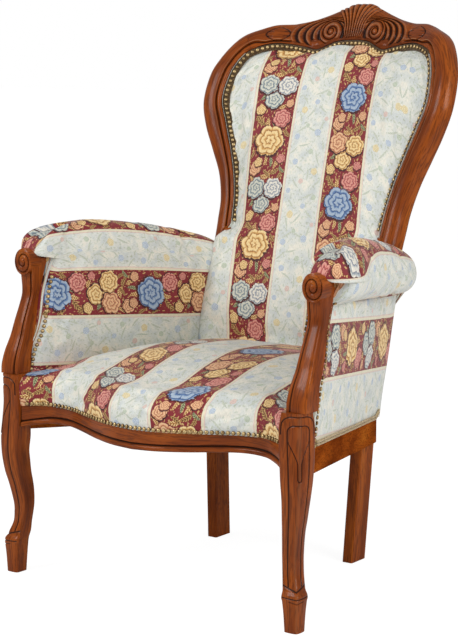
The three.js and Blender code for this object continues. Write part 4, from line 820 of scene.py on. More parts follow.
raised = ease((tongue - across) / 0.0015) * ease((leg_height - 0.70) / 0.008)
raised *= 1 - ease((leg_height - 0.93) / 0.012)
chevrons = (cut(leg_height - 0.189 - 0.022 * aside, 0.0040) + cut(leg_height - 0.158 - 0.004 * aside, 0.0028)
            + 0.7 * cut(leg_height - 0.139 - 0.012 * aside, 0.0028) * (aside < 0.6))
cuts = np.clip(np.maximum.reduce([lower, upper, sides, tip, chevrons]), 0, 1) * front_part
around_way = np.roll(rings, -1, 1) - np.roll(rings, 1, 1)
normal = unit(np.stack([around_way[..., 1], -around_way[..., 0], np.zeros_like(place_z)], -1))
normal *= np.sign(((rings - rings.mean(axis=1, keepdims=True)) * normal).sum(-1, keepdims=True))
rings = rings + normal * (PETAL_RISE * raised * front_part - CUT_DEPTH * cuts)[..., None]
# Stain in the cuts; below zero along the leg's outer ridge, where a pale highlight is painted.
leg = tube(rings, np.clip(1.1 * cuts - 0.2 * cut(out_share - 1, 0.05) * (1 - cuts), -1, 1))
both_sides("front_leg_carved", [leg], carved_wood, ["front_leg"], SHARP_CARVING)

# %% [markdown]
# ## Arm posts
# Each post rises from the leg, leans back and ends in a scroll. A groove runs up its inner side.

# %% Arm posts
ARM_HEIGHT, SCROLL_DEPTH, POST_WIDTH = 0.669, 0.046, 0.042
POST_CENTRE = FRONT_HALF + 0.006
POST_TOP, POST_ROWS = 0.7715, 120  # share of the way to the arm's top at which the scroll takes over
POST = [  # share of the way from joint to arm top, then front, nail line and width, as shares
    (0, -0.2, 0.67, 1), (0.062, -0.17, 0.72, 1), (0.15, 0, 0.81, 0.93), (0.245, 0.29, 1.1, 0.82),
    (0.348, 0.53, 1.31, 0.74), (0.469, 0.86, 1.46, 0.69), (0.5405, 1.01, 1.56, 0.7),
    (0.6667, 0.99, 1.8, 0.78), (0.7715, 0.95, 1.98, 0.85)]
POST_SECTION = np.array([  # side share, share from front to nail, extra depth in metres
    (-0.62, 1, 0.014), (-0.62, 1, 0), (-1, 1, 0), (-1, 0.5, 0), (-1, 0, 0.004), (-0.96, 0, 0.0016),
    (-0.88, 0, 0.0002), (-0.78, 0, 0.0003), (-0.70, 0, 0.0014), (-0.64, 0, 0.0032), (-0.60, 0, 0.0036),
    (-0.56, 0, 0.0026), (-0.52, 0, 0.0008), (-0.4, 0, 0.0002), (0, 0, -0.0004), (0.6, 0, 0.0002),
    (0.9, 0, 0.0010), (1, 0, 0.0028), (1, 0.5, 0), (1, 1, 0), (0.62, 1, 0), (0.62, 1, 0.014)])


def post_at(z):
    """Front, nail line and half width of the post at a height."""
    share = (np.asarray(z) - JOINT_HEIGHT) / (ARM_HEIGHT - JOINT_HEIGHT)
    front, nail, width = np.moveaxis(fair(POST, share), -1, 0)
    return SCROLL_DEPTH * front, SCROLL_DEPTH * nail, POST_WIDTH * width / 2


post_z = np.linspace(JOINT_HEIGHT + 0.0003, mix(JOINT_HEIGHT, ARM_HEIGHT, POST_TOP), POST_ROWS)
front, nail, half = (value[:, None] for value in post_at(post_z))
post_x = POST_CENTRE + POST_SECTION[:, 0] * half
post_y = mix(front, nail, POST_SECTION[:, 1]) + POST_SECTION[:, 2]
post_rings = np.stack([post_x, post_y, np.broadcast_to(post_z[:, None], post_x.shape)], -1)
post_groove = np.tile(cut(POST_SECTION[:, 0] + 0.6, 0.07) * (POST_SECTION[:, 1] == 0), (POST_ROWS, 1))
post = tube(post_rings, post_groove)
SCROLL_Z = ARM_HEIGHT - 0.07
SCROLL_Y = float(post_at(SCROLL_Z)[0]) - 0.004


def on_post(x, z, depth):
    """Points behind the plane of the scroll's face."""
    return np.stack(np.broadcast_arrays(x, SCROLL_Y + depth, z), -1)


post_scroll = scroll_disc(POST_CENTRE + 0.002, SCROLL_Z, (0.021, 0.0255), 0.0045, 2.2, on_post, 0.0285, 40, 96)
both_sides("arm_post_carved", [post, post_scroll], carved_wood, ["arm_post"])

# %% [markdown]
# ## Seat rails
# The front rail is a serpentine with a bead run along its lower edge.

# %% Front and side rails
RAIL_TOP, SEAT_FALL, EDGE, SHOW, RAIL_THICK, BOW = 0.345, 0.036, 0.017, 0.034, 0.032, 0.0445
SERPENTINE = [(0, -1), (0.154, -0.9), (0.308, -0.53), (0.462, -0.05), (0.615, 0.35), (0.769, 0.42),
              (0.862, 0.14), (0.935, -0.22), (1, -0.3)]
RAIL_NAIL = [(0, 0.84), (0.31, 0.9), (0.62, 1.02), (0.77, 1.06), (1, 1.03)]
RAIL_BOTTOM = [(0, 1.14), (0.31, 1.04), (0.62, 0.9), (0.77, 0.95), (0.9, 1.14), (1, 1.3)]


def rail_front(x):
    """Depth of the serpentine face at a place across the chair."""
    return BOW * fair(SERPENTINE, np.abs(x) / FRONT_HALF)[..., 0]


def rail_nail(x):
    """Height of the nail line on the front rail."""
    return RAIL_TOP - EDGE * (2 - fair(RAIL_NAIL, np.abs(x) / FRONT_HALF)[..., 0])


def rail_top(y):
    """The seat frame's top falls from front to back."""
    return RAIL_TOP - SEAT_FALL * y / LEG_SPAN


def side_face(y):
    """Half width of the side rails' outer face."""
    return mix(0.353, 0.215, y / LEG_SPAN)


def rail_seat(y):
    """Height of the front rail's own top, just above the frame's slope."""
    return rail_top(y) + 0.0019


RAIL_SECTION = np.array([  # how far out of the face, height above the bottom edge
    (-0.003, 0.0), (0.0012, 0.0002), (0.0026, 0.0016), (0.0032, 0.0045), (0.0026, 0.0074), (0.0008, 0.0090),
    (-0.0016, 0.0102), (-0.0022, 0.0112), (-0.0016, 0.0122), (0.0, 0.0132), (0.0, 0.0145)])
RAIL_LIP = 0.0026  # the cloth's rebate over the nail line
rail_x = np.linspace(-0.3, 0.3, 150)
face, nail_z = rail_front(rail_x)[:, None], rail_nail(rail_x)[:, None]
bottom = RAIL_TOP - EDGE - SHOW * fair(RAIL_BOTTOM, np.abs(rail_x) / FRONT_HALF)
rebate, rear = face + RAIL_LIP, face + RAIL_THICK
rail_y = np.hstack([face - RAIL_SECTION[:, 0], face, face, rebate, rebate, rear, rear])
rail_z = np.hstack([bottom + RAIL_SECTION[:, 1], mix(bottom + RAIL_SECTION[-1, 1], nail_z, 0.5), nail_z, nail_z,
                    rail_seat(rebate), rail_seat(rear), bottom])
rail_rings = np.stack([np.broadcast_to(rail_x[:, None], rail_y.shape), rail_y, rail_z], -1)
rail_hollow = np.zeros(rail_y.shape)
rail_hollow[:, 5:9] = (0.35, 0.9, 1.0, 0.8)
make_piece("front_rail_shaped", [tube(rail_rings, rail_hollow)], carved_wood, ["front_rail"])


def finish(material, *names):
    """Gives each carried-over CAD node its material."""
    for name in names:
        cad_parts[name].data.materials.clear()
        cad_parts[name].data.materials.append(material)
    print(material.name, "on", len(names), "nodes")


def pairs(*names):
    """Each name with every side after it."""
    return [f"{name}_{side}" for name in names for side in ("left", "right")]


finish(upright_wood, *pairs("rear_leg"))
finish(side_rail_wood, *pairs("side_rail"))
finish(back_rail_wood, "back_seat_rail")

# %% [markdown]
# ## Woven flowers
# The cover is a jacquard: claret stripes full of roses and peonies between ivory stripes with small
# sprigs. A jacquard loom works from a chart of numbered threads, and so does this material: each motif
# is painted into a chart of two numbers, which thread and how light, and the threads are turned into
# colours at the end. A flower's outline is a circle whose radius swells with the root of a cosine of the
# angle, one arc for each petal; its inner petals follow one spiral, bent half a petal out of step.

# %% Flower group
STRIPE_PITCH, STRIPE_REPEAT = 0.188, 0.223


def from_centre(graph, given):
    """Offset across, and along to the nearest of the motif's repeats in the stripe."""
    along = graph.minus(given["Along"], given["Centre along"])
    return (graph.minus(given["Across"], given["Centre across"]),
            graph.math("WRAP", along, STRIPE_REPEAT / 2, -STRIPE_REPEAT / 2))


PLACE = [("Across", "number"), ("Along", "number"), ("Centre across", "number"), ("Centre along", "number")]
graph, given, give = new_group(
    "blossom", PLACE + [("Radius", "number"), ("Petals", "number"), ("Turn", "number"), ("Ragged", "number")],
    [("Light", "number"), ("Mask", "number")])
x, y = from_centre(graph, given)
angle = graph.math("ARCTAN2", y, x)
reach = graph.math("SQRT", graph.times_plus(x, x, graph.times(y, y)))
half = graph.times_plus(angle, graph.times(given["Petals"], 0.5), given["Turn"])
outer = graph.math("SQRT", graph.math("ABSOLUTE", graph.math("COSINE", half)))
inner = graph.math("ABSOLUTE", graph.math("SINE", half))
edge = graph.times_plus(outer, 0.17, graph.times_plus(given["Ragged"], 0.44, 0.63))
share = graph.over(graph.over(reach, given["Radius"]), edge)
give("Mask", graph.step(share, 1.0, 0.93))
bend = graph.times_plus(inner, 0.22, graph.times(given["Ragged"], 1.5))
spiral = graph.times_plus(angle, 1 / (2 * np.pi), bend)
petal = graph.math("FRACT", graph.times_plus(share, 2.9, graph.plus(spiral, 8.0)))
petal_light = graph.step(petal, 0.0, 0.62, 0.12, 1.0)
notch = graph.step(graph.times_plus(share, -0.35, outer), 0.0, 0.22, 0.45, 1.0)
give("Light", graph.times(petal_light, notch))

# %% [markdown]
# A leaf is two parabolas along its own turned axis, bent a little to one side, with veins that are a sine
# of the place along and across it.

# %% Leaf group
graph, given, give = new_group(
    "leaf", PLACE + [("Length", "number"), ("Width", "number"), ("Cosine", "number"), ("Sine", "number")],
    [("Light", "number"), ("Mask", "number")])
x, y = from_centre(graph, given)
turned_x = graph.times_plus(x, given["Cosine"], graph.times(y, given["Sine"]))
turned_y = graph.minus(graph.times(y, given["Cosine"]), graph.times(x, given["Sine"]))
along = graph.over(turned_x, given["Length"])
bow = graph.times(graph.times(along, along), graph.times(given["Width"], 0.8))
side = graph.over(graph.math("ABSOLUTE", graph.minus(turned_y, bow)), given["Width"])
give("Mask", graph.step(graph.times_plus(along, along, side), 1.0, 0.82))
veins = graph.math("SINE", graph.times_plus(along, 19.0, graph.times(side, 7.0)))
give("Light", graph.times(graph.step(veins, -0.9, 0.8), graph.step(side, 0.05, 0.25, 0.3, 1.0)))

# %% [markdown]
# The claret tile holds one big rose, a pair of peonies, smaller flowers, leaves, buds and stems. Two
# claret stripes follow each other in different threads, gold rose with grey-blue peonies, then blue
# rose with gold peonies, and almost half a tile apart. The ivory stripe has small sprigs on thin twigs.
# Single picks of another thread come up between the motifs: the flecks, where a fine noise runs high.

# %% Threads and motifs
THREADS = {  # dark, middle and light tone of each thread
    "claret": ("#65141B", "#81222A", "#933036"), "shade": ("#2E0D0F", "#461617", "#5A1F1E"),
    "gold": ("#8A5526", "#CE9C58", "#EDD097"), "blue": ("#2C4674", "#5C7AA6", "#A4B4C6"),
    "slate": ("#56636F", "#8F9C9E", "#CFCEBF"), "silver": ("#666E7E", "#A9AEB2", "#E2DCCF"),
    "peach": ("#8A432C", "#C98660", "#E6B98E"), "rose": ("#7E2B31", "#B95D57", "#D99788"),
    "amber": ("#63401F", "#9A7040", "#CBA66A"), "sage": ("#4C5638", "#82875F", "#B9B588"),
    "ivory": ("#CBD0CD", "#D9DBD3", "#E6E2D4"), "twig": ("#B4BAA8", "#C4C9B8", "#D4D8CA"),
    "sky": ("#7F90AC", "#A3B1C4", "#CFD8DE"), "fern": ("#93A088", "#B0BBA2", "#D0D7C6"),
    "straw": ("#C4A66E", "#D9C592", "#E8DDB8"), "blush": ("#BC958B", "#D0AEA3", "#E4D3C8")}
NAMES = list(THREADS)
FLOWERS = [  # centre (mm across, mm along), radius, petals, turn, thread in even and odd stripes
    ((-28, -58), 13, 5, 0.9, "peach", "peach"), ((-22, -45), 9, 5, 2.0, "gold", "peach"),
    ((33, 80), 8, 5, 0.3, "peach", "rose"), ((31, -40), 9, 5, 1.3, "rose", "peach"),
    ((-31, 68), 10, 5, 2.5, "gold", "gold"), ((20, 47), 18, 7, 1.0, "rose", "rose"),
    ((-4, 90), 19, 5, 0.2, "slate", "gold"), ((-21, 124), 20, 6, 1.6, "slate", "peach"),
    ((21, 121), 20, 7, 2.2, "silver", "gold"), ((-2, 0), 30, 6, 0.4, "gold", "blue")]
LEAVES = [  # centre, half length, half width, turn, thread
    ((-27, 42), 17, 6, -0.8, "amber"), ((-10, 37), 14, 5, -1.3, "gold"), ((-33, 54), 13, 5, 1.2, "amber"),
    ((4, 40), 11, 4, -1.8, "sage"), ((-4, -41), 15, 4, 1.5, "gold"), ((9, -44), 16, 4, 1.75, "sage"),
    ((21, -50), 15, 4, 1.3, "gold"), ((20, -68), 14, 5, 0.5, "amber"), ((35, -64), 11, 4, -0.8, "sage"),
    ((-38, 6), 11, 4, 1.2, "amber"), ((35, 14), 12, 5, -0.9, "amber"), ((-26, 96), 12, 5, 0.9, "sage"),
    ((17, 72), 12, 5, 0.3, "gold"), ((-38, -26), 12, 4, 1.1, "amber"), ((0, 146), 14, 6, 0.2, "gold"),
    ((2, -70), 13, 4, 2.4, "amber"), ((-34, 150), 11, 5, 2.0, "gold"), ((33, 148), 11, 4, 1.1, "amber")]
SPRIGS = [  # centre across the ivory stripe, mm along, radius, thread
    ((-30, 8), 7, "sky"), ((-8, 32), 5, "fern"), ((18, 17), 8, "sky"), ((34, 47), 5, "blush"),
    ((-22, 66), 8, "straw"), ((6, 84), 6, "sky"), ((30, 103), 6, "fern"), ((-34, 116), 6, "sky"),
    ((-6, 136), 6, "blush"), ((22, 157), 8, "straw"), ((-26, 177), 7, "sky"), ((8, 199), 6, "fern")]
TWIG_WIDTH = 2.2
TWIGS = [  # centre, half length, turn
    ((-20, 24), 16, 0.6), ((6, 22), 15, -0.4), ((26, 32), 14, 1.3), ((-28, 50), 14, 1.9),
    ((-4, 58), 17, 0.9), ((22, 67), 15, -0.7), ((-24, 90), 15, 2.3), ((14, 105), 17, 0.4),
    ((-20, 131), 15, -0.9), ((8, 151), 15, 1.6), ((34, 134), 13, 0.8), ((-12, 162), 15, 2.6),
    ((-34, 200), 13, 0.7), ((24, 186), 16, -1.2), ((-10, 212), 15, 0.2), ((36, 212), 12, 1.8)]


def woven(graph, chart, made, thread, relief):
    """Lays one motif on the chart of thread, light and relief."""
    inside = graph.math("GREATER_THAN", made["Mask"], 0.5)
    number = graph.lerp(inside, chart[0], thread)
    light = graph.lerp(made["Mask"], chart[1], made["Light"])
    height = graph.math("MAXIMUM", chart[2], graph.times(made["Mask"], relief))
    return number, light, height


def placed(place, centre):
    """The inputs that tell a motif's group where it lies, from its centre in millimetres."""
    return {"Across": place[0], "Along": place[1],
            "Centre across": centre[0] / 1000, "Centre along": centre[1] / 1000}


def lay_leaves(graph, chart, place, rows, relief):
    """Lays leaves, each given by centre, half length, half width, turn and thread, in mm and radians."""
    for centre, length, width, turn, name in rows:
        made = graph.group("leaf", placed(place, centre) | {
            "Length": length / 1000, "Width": width / 1000,
            "Cosine": float(np.cos(turn)), "Sine": float(np.sin(turn))})
        chart = woven(graph, chart, made, number_of(name), relief)
    return chart


def lay_blossom(graph, chart, place, centre, radius, petals, turn, thread, relief):
    """Lays one blossom, with its centre and radius in millimetres."""
    made = graph.group("blossom", placed(place, centre) | {
        "Radius": radius / 1000, "Petals": float(petals), "Turn": turn, "Ragged": place[2]})
    return woven(graph, chart, made, thread, relief)


def number_of(name):
    """A thread's number in the chart."""
    return float(NAMES.index(name))


def give_chart(give, chart):
    """Hands the chart's three numbers to a group's outputs."""
    for (label, _), value in zip(CHART, chart):
        give(label, value)


# %% [markdown]
# The claret chart starts from the ground and its flecks, then takes the leaves and, over them, each flower
# with a dark shadow thread just below it.

# %% Chart of the claret stripe
CLARET_FLECK, IVORY_FLECK = 0.605, 0.60  # the noise from which a fleck shows
BLOSSOM_SIZE, SHADOW_SIZE, SHADOW_DROP = 1.12, 1.24, 2  # shares of the radius, and millimetres
STRIPE_INPUTS = [(label, "number") for label in ("Across", "Along", "Ragged", "Ground", "Fleck")]
CHART = [(label, "number") for label in ("Thread", "Light", "Relief")]
graph, given, give = new_group("claret_chart", STRIPE_INPUTS + [("Odd", "number")], CHART)
place = (given["Across"], given["Along"], given["Ragged"])
fleck = graph.math("GREATER_THAN", given["Fleck"], CLARET_FLECK)
chart = (graph.times(fleck, number_of("amber")), graph.math("MAXIMUM", given["Ground"], fleck),
         graph.times(fleck, 0.3))
chart = lay_leaves(graph, chart, place, LEAVES, 0.6)
shade = number_of("shade")
for centre, radius, petals, turn, even, odd in FLOWERS:
    below = (centre[0], centre[1] - SHADOW_DROP)
    chart = lay_blossom(graph, chart, place, below, radius * SHADOW_SIZE, petals, turn, shade, 0.2)
    first, second = number_of(even), number_of(odd)
    thread = first if even == odd else graph.times_plus(given["Odd"], second - first, first)
    chart = lay_blossom(graph, chart, place, centre, BLOSSOM_SIZE * radius, petals, turn, thread, 1.0)
give_chart(give, chart)

# %% [markdown]
# The ivory chart is laid in the same way: flecks of twig thread, thin twigs, then the sprigs.

# %% Chart of the ivory stripe
graph, given, give = new_group("ivory_chart", STRIPE_INPUTS, CHART)
place = (given["Across"], given["Along"], given["Ragged"])
fleck = graph.math("GREATER_THAN", given["Fleck"], IVORY_FLECK)
ivory_thread = number_of("ivory")
chart = (graph.times_plus(fleck, number_of("twig") - ivory_thread, ivory_thread), given["Ground"],
         graph.times(given["Ground"], 0.2))
twigs = [(centre, length, TWIG_WIDTH, turn, "twig") for centre, length, turn in TWIGS]
chart = lay_leaves(graph, chart, place, twigs, 0.5)
for centre, radius, name in SPRIGS:
    chart = lay_blossom(graph, chart, place, centre, radius, 5, centre[0] * 0.3, number_of(name), 0.7)
give_chart(give, chart)
print("motifs in the claret tile:", len(FLOWERS) + len(LEAVES), "in the ivory one:", len(SPRIGS) + len(TWIGS))

# %% [markdown]
# The stripe's number and the place across it come from the UV map, which is in metres. A cream line and
# a thin pink line run along each edge of a claret stripe.

# %% Striped jacquard
CLARET_HALF = 0.0445
ODD_SHIFT, IVORY_SHIFT = -0.096, 0.071  # along the stripe, from one stripe to the next
graph, given, give = new_group("striped_jacquard", [("Place", "vector")],
                               [("Colour", "colour"), ("Relief", "number"), ("Ivory", "number")])
parts = graph.split(given["Place"])
number = graph.math("ROUND", graph.over(parts[0], STRIPE_PITCH))
across = graph.minus(parts[0], graph.times(number, STRIPE_PITCH))
odd = graph.math("FLOORED_MODULO", number, 2.0)
ragged = graph.noise(given["Place"], 190.0, 2.5, 0.6)
claret = graph.group("claret_chart", {
    "Odd": odd, "Across": across, "Along": graph.times_plus(odd, ODD_SHIFT, parts[1]), "Ragged": ragged,
    "Ground": graph.noise(given["Place"], 22.0, 2.0),
    "Fleck": graph.noise(graph.scaled(given["Place"], (250.0, 130.0, 0.0)), 1.0, 2.0)})
ivory_number = graph.math("FLOOR", graph.over(parts[0], STRIPE_PITCH))
ivory_across = graph.minus(parts[0], graph.times_plus(ivory_number, STRIPE_PITCH, STRIPE_PITCH / 2))
ivory = graph.group("ivory_chart", {
    "Across": ivory_across, "Along": graph.times_plus(ivory_number, IVORY_SHIFT, parts[1]), "Ragged": ragged,
    "Ground": graph.step(graph.noise(given["Place"], 38.0, 3.0), 0.3, 0.7),
    "Fleck": graph.noise(graph.scaled(given["Place"], (210.0, 170.0, 0.0)), 1.0, 2.0)})
from_middle = graph.math("ABSOLUTE", across)
is_ivory = graph.math("GREATER_THAN", from_middle, CLARET_HALF)
thread, light, relief = (graph.lerp(is_ivory, claret[label], ivory[label])
                         for label, _ in CHART)
pick = graph.over(graph.plus(thread, 0.5), float(len(NAMES)))


def thread_ramp(tone):
    """A ramp of flat steps, one for each numbered thread."""
    made = graph.node("ShaderNodeValToRGB", {0: pick})
    made.color_ramp.interpolation = "CONSTANT"
    elements = made.color_ramp.elements
    while len(elements) < len(NAMES):
        elements.new(1.0)
    for k, name in enumerate(NAMES):
        elements[k].position = k / len(NAMES)
        elements[k].color = paint(THREADS[name][tone])
    return made.outputs[0]


colour = graph.blend(graph.step(light, 0.0, 0.5), thread_ramp(0), thread_ramp(1))
colour = graph.blend(graph.step(light, 0.5, 1.0), colour, thread_ramp(2))
cream = graph.times(is_ivory, graph.step(from_middle, CLARET_HALF + 0.0052, CLARET_HALF + 0.0044))
colour = graph.blend(graph.times(cream, 0.75), colour, paint("#E4D9B8"))
pink = graph.times(graph.step(from_middle, CLARET_HALF + 0.0046, CLARET_HALF + 0.0050),
                  graph.step(from_middle, CLARET_HALF + 0.0068, CLARET_HALF + 0.0062))
give("Colour", graph.blend(graph.times(pink, 0.55), colour, paint("#DDA9A0")))
give("Ivory", is_ivory)
give("Relief", relief)

# %% [markdown]
# Under the figure lies the weave itself: fine ribs across the cloth, crossed by warp threads. Both are
# sines of the place, a little uneven, and feed the bump.

# %% Weave group and the cover's material
graph, given, give = new_group("weave", [("Place", "vector"), ("Pitch", "number")],
                               [("Height", "number"), ("Tone", "number")])
uneven = graph.scaled(graph.noise(given["Place"], 60.0, 2.0, out=1), (0.0012, 0.0012, 0.0))
threads = graph.split(graph.vector("ADD", given["Place"], uneven))
turns = graph.over(2 * np.pi, given["Pitch"])
warp = graph.math("SINE", graph.times(threads[0], turns))
weft = graph.math("SINE", graph.times(threads[1], turns))
give("Height", graph.times_plus(graph.times(warp, weft), 0.5, 0.5))
give("Tone", graph.noise(graph.scaled(given["Place"], (1400.0, 160.0, 0.0)), 1.0, 2.0))

stripe_cloth, graph, shader = new_material("striped_jacquard_cloth", Sheen_Weight=0.25, Sheen_Roughness=0.4,
                                           Specular_IOR_Level=0.35)
place = graph.cloth_place()
figure = graph.group("striped_jacquard", {"Place": place})
weave = graph.group("weave", {"Place": place, "Pitch": 0.0011})
tone = graph.step(weave["Tone"], 0.3, 0.7, 0.86, 1.06)
colour = graph.blend(1.0, figure["Colour"], graph.join(tone, tone, tone), "MULTIPLY")
height = graph.plus(graph.times(figure["Relief"], 0.7), graph.times(weave["Height"], 0.3))
bump = graph.bump(height, 0.35, 0.0007)
feed(graph, shader, Base_Color=colour, Normal=bump,
     Roughness=graph.step(figure["Ivory"], 0.0, 1.0, 0.62, 0.5))


def plain_weave(name, light, dark, pitch, strength, rough):
    """A plain cloth whose threads vary a little in colour; its UV map is in metres."""
    material, graph, shader = new_material(name, Sheen_Weight=0.15, Specular_IOR_Level=0.25)
    place = graph.cloth_place()
    weave = graph.group("weave", {"Place": place, "Pitch": pitch})
    share = graph.times_plus(graph.noise(place, 14.0, 3.0), 0.5, graph.times(weave["Tone"], 0.5))
    bump = graph.bump(weave["Height"], strength, 0.0008)
    feed(graph, shader, Base_Color=graph.blend(graph.step(share, 0.3, 0.7), paint(dark), paint(light)),
         Normal=bump, Roughness=graph.step(share, 0.2, 0.8, rough - 0.06, rough + 0.06))
    return material


plain_cloth = plain_weave("outside_back_weave", "#E6E2D4", "#CFCBBD", 0.0012, 0.3, 0.7)
dust_weave = plain_weave("dust_cloth_weave", "#3A3733", "#211F1D", 0.0010, 0.25, 0.9)


def cord_thread(name, sheen, shine, scale, colours, rough):
    """Twisted or braided thread: one fine noise gives its colour, roughness and relief."""
    material, graph, shader = new_material(name, Sheen_Weight=sheen, Specular_IOR_Level=shine)
    twist = graph.noise(graph.scaled(graph.object_place(), scale), 1.0, 2.0)
    feed(graph, shader, Base_Color=graph.ramp(twist, list(zip((0.3, 0.5, 0.7), colours))),
         Roughness=graph.step(twist, 0.2, 0.8, *rough), Normal=graph.bump(twist, 0.5, 0.0005))
    return material


gimp_thread = cord_thread("gimp_thread", 0.3, 0.25, (900.0, 260.0, 900.0), ("#6E5636", "#A88E62", "#D8C8A0"),
                          (0.6, 0.75))
braid_thread = cord_thread("braid_thread", 0.2, 0.2, (500.0, 500.0, 500.0), ("#2A1D11", "#4A3620", "#75603C"),
                           (0.65, 0.8))
print("cloth materials:", stripe_cloth.name, plain_cloth.name, dust_weave.name,
      gimp_thread.name, braid_thread.name)

# %% [markdown]
# ## The stuffed seat
# Horsehair and foam lie on webbing; the cloth is pulled over the front edge's firm nose and nailed on
# the rail. The seat is crowned in the middle and sinks where it meets the arms and the back.

# %% Seat
NOSE = np.array([(0, 0), (-0.15, 0.33), (-0.12, 0.63), (0.2, 0.87), (0.9, 1)])
SEAT_TOP = [(0.054, 1.113), (0.21, 1.14), (0.48, 1.171), (0.94, 1.174), (1.1, 1.165)]
SEAT_ROWS = np.array([0.14, 0.3, 0.48, 0.66, 0.82, 1])
SEAT_REAR = 0.97 * LEG_SPAN
NOSE_OUT, NOSE_UP, SEAT_SWELL, SEAT_INSET = 0.026, 0.058, 0.030, 0.0095


def arm_inner(y):
    """Half width between the arms' inner faces."""
    return mix(0.322, 0.197, y / LEG_SPAN)


def seat_crown(u, y):
    """The seat's swell: full in the middle, none at the sides, less at the front and the back."""
    return (SEAT_SWELL * (1 - np.abs(u) ** 2.6) * mix(0.1, 1, ease(y / (LEG_SPAN * 0.45)))
            * mix(1, 0.55, ease((y / LEG_SPAN - 0.5) / 0.5)))


def seat_half(y):
    """Half width of the seat's stuffing between the arms."""
    return arm_inner(y) - SEAT_INSET


def seat_rows(u):
    """Control rows of the seat's surface over all columns u, from the nail line over the nose to the rear."""
    x0 = u * seat_half(0)
    front, nail = rail_front(x0), rail_nail(x0)
    rows = []
    for out, up in NOSE:
        y = front + NOSE_OUT * out
        rows.append(np.stack([x0, y, nail + NOSE_UP * up + seat_crown(u, y) * up], -1))
    nose_end = front + NOSE_OUT * NOSE[-1, 0]
    for share in SEAT_ROWS:
        y = mix(nose_end, SEAT_REAR, share)
        z = RAIL_TOP * fair(SEAT_TOP, y / LEG_SPAN)[..., 0] + seat_crown(u, y)
        rows.append(np.stack([u * seat_half(y), y, z], -1))
    return np.array(rows)


def web_bed(y):
    """Height of the webs' top, which the stuffing lies on."""
    return rail_top(y) + 0.0041


COVER_DEEP, STRIPE_START, TURNED_EDGE = 0.0024, 0.10, 0.002
u = -np.cos(np.linspace(0, np.pi, 121))
top = fair_points(seat_rows(u), 96)
x0, front = top[0, :, 0], rail_front(top[0, :, 0])
under = [np.stack([top[-1, :, 0], top[-1, :, 1], web_bed(top[-1, :, 1])], -1)]
for y in (mix(front + 0.034, SEAT_REAR, 0.5), front + 0.034):
    under.append(np.stack([u * seat_half(y), y, web_bed(y)], -1))
for z in (web_bed(front), top[0, :, 2]):
    under.append(np.stack([x0, front + COVER_DEEP, z], -1))
seat_rings = np.concatenate([top, under]).transpose(1, 0, 2)
gone = lengths(seat_rings, axis=1)
seat_uv = np.stack([seat_rings[..., 0] + STRIPE_START, gone], -1)
seat_uv = np.concatenate([seat_uv, seat_uv[:, -1:] + [0, TURNED_EDGE]], 1)
seat = make_piece("seat_upholstery", [tube(seat_rings, uv=seat_uv)], stripe_cloth,
                  ["seat_cover", "seat_pad"])
seat_held = np.ones(seat_rings.shape[:2])
seat_held[:, :len(top)] = free_middle(len(u), len(top), 8, 6)
settle(seat, np.append(seat_held.ravel(), [1, 1]), 3.0, 0.006)

# %% [markdown]
# ## The inside back
# The inside back is one crowned pad, drawn in all round to the nail line along the frame's bead. Below
# the arms it passes in front of the stiles. The stripes run up it; the gold rose of the left stripe lies
# at ROSE_HEIGHT.

# %% Inside back
OPENING_TOP = np.concatenate([CREST[::-1][:, [1, 0]], [[0.793, 0.9045]]])
WAIST_Z, NAIL_BORDER, LOW_HALF = WAIST_SCROLL[1], 0.0085, 0.202
TOP_SHARE = 0.793  # the opening's top ends at this share of the back's half width


def opening_half(z):
    """Half width of the frame's opening at a height."""
    return BACK_HALF * fair(STILE[:12, :2], z / OVERALL)[..., 0]


def opening_top(x):
    """Height of the crest's lobed lower edge at a place across."""
    return OVERALL * fair(OPENING_TOP, np.abs(x) / BACK_HALF)[..., 0]


FIT_GAP = 0.0003


def back_grid(bottom, half_at, depth_at, rows, columns):
    """A grid over the opening: u across and v up, both denser towards the edges."""
    v = np.sin(np.linspace(0, np.pi / 2, rows))[:, None]
    u = -np.cos(np.linspace(0, np.pi, columns))[None, :]
    z = mix(bottom, opening_top(u * TOP_SHARE * BACK_HALF) - FIT_GAP, v)
    x = u * (half_at(z) - FIT_GAP)
    return on_back(x, z, depth_at(u, v, z, x))


def waist_blend(z):
    """0 below the little scrolls, where the back lies in front of the stiles, and 1 above them."""
    return ease((z - (WAIST_Z - 0.018)) / 0.036)


def inside_half(z):
    """Half width of the inside back at a height."""
    return mix(LOW_HALF, opening_half(z), waist_blend(z))


def inside_depth(u, v, z, x):
    """The crown: full in the middle, falling steeply at the sides and the top."""
    border = 1 - NAIL_BORDER / inside_half(z) * waist_blend(z)
    across = (1 - np.minimum(np.abs(u) / border, 1) ** 2.6) ** 0.68
    up = (1 - np.minimum(v / (1 - NAIL_BORDER / 0.68), 1) ** 5) ** 0.6 * mix(0.85, 1, ease(v / 0.3))
    return 0.0042 - 0.048 * across * up - 0.017 * (1 - waist_blend(z)) * ease((np.abs(x) - 0.13) / 0.06)


def stuffing_depth(u, v, z, x):
    """The pad's hidden back: against the webs, or in front of the stiles where it covers them."""
    return np.where(np.abs(x) > opening_half(z) - 0.0006, -0.0008, 0.008)


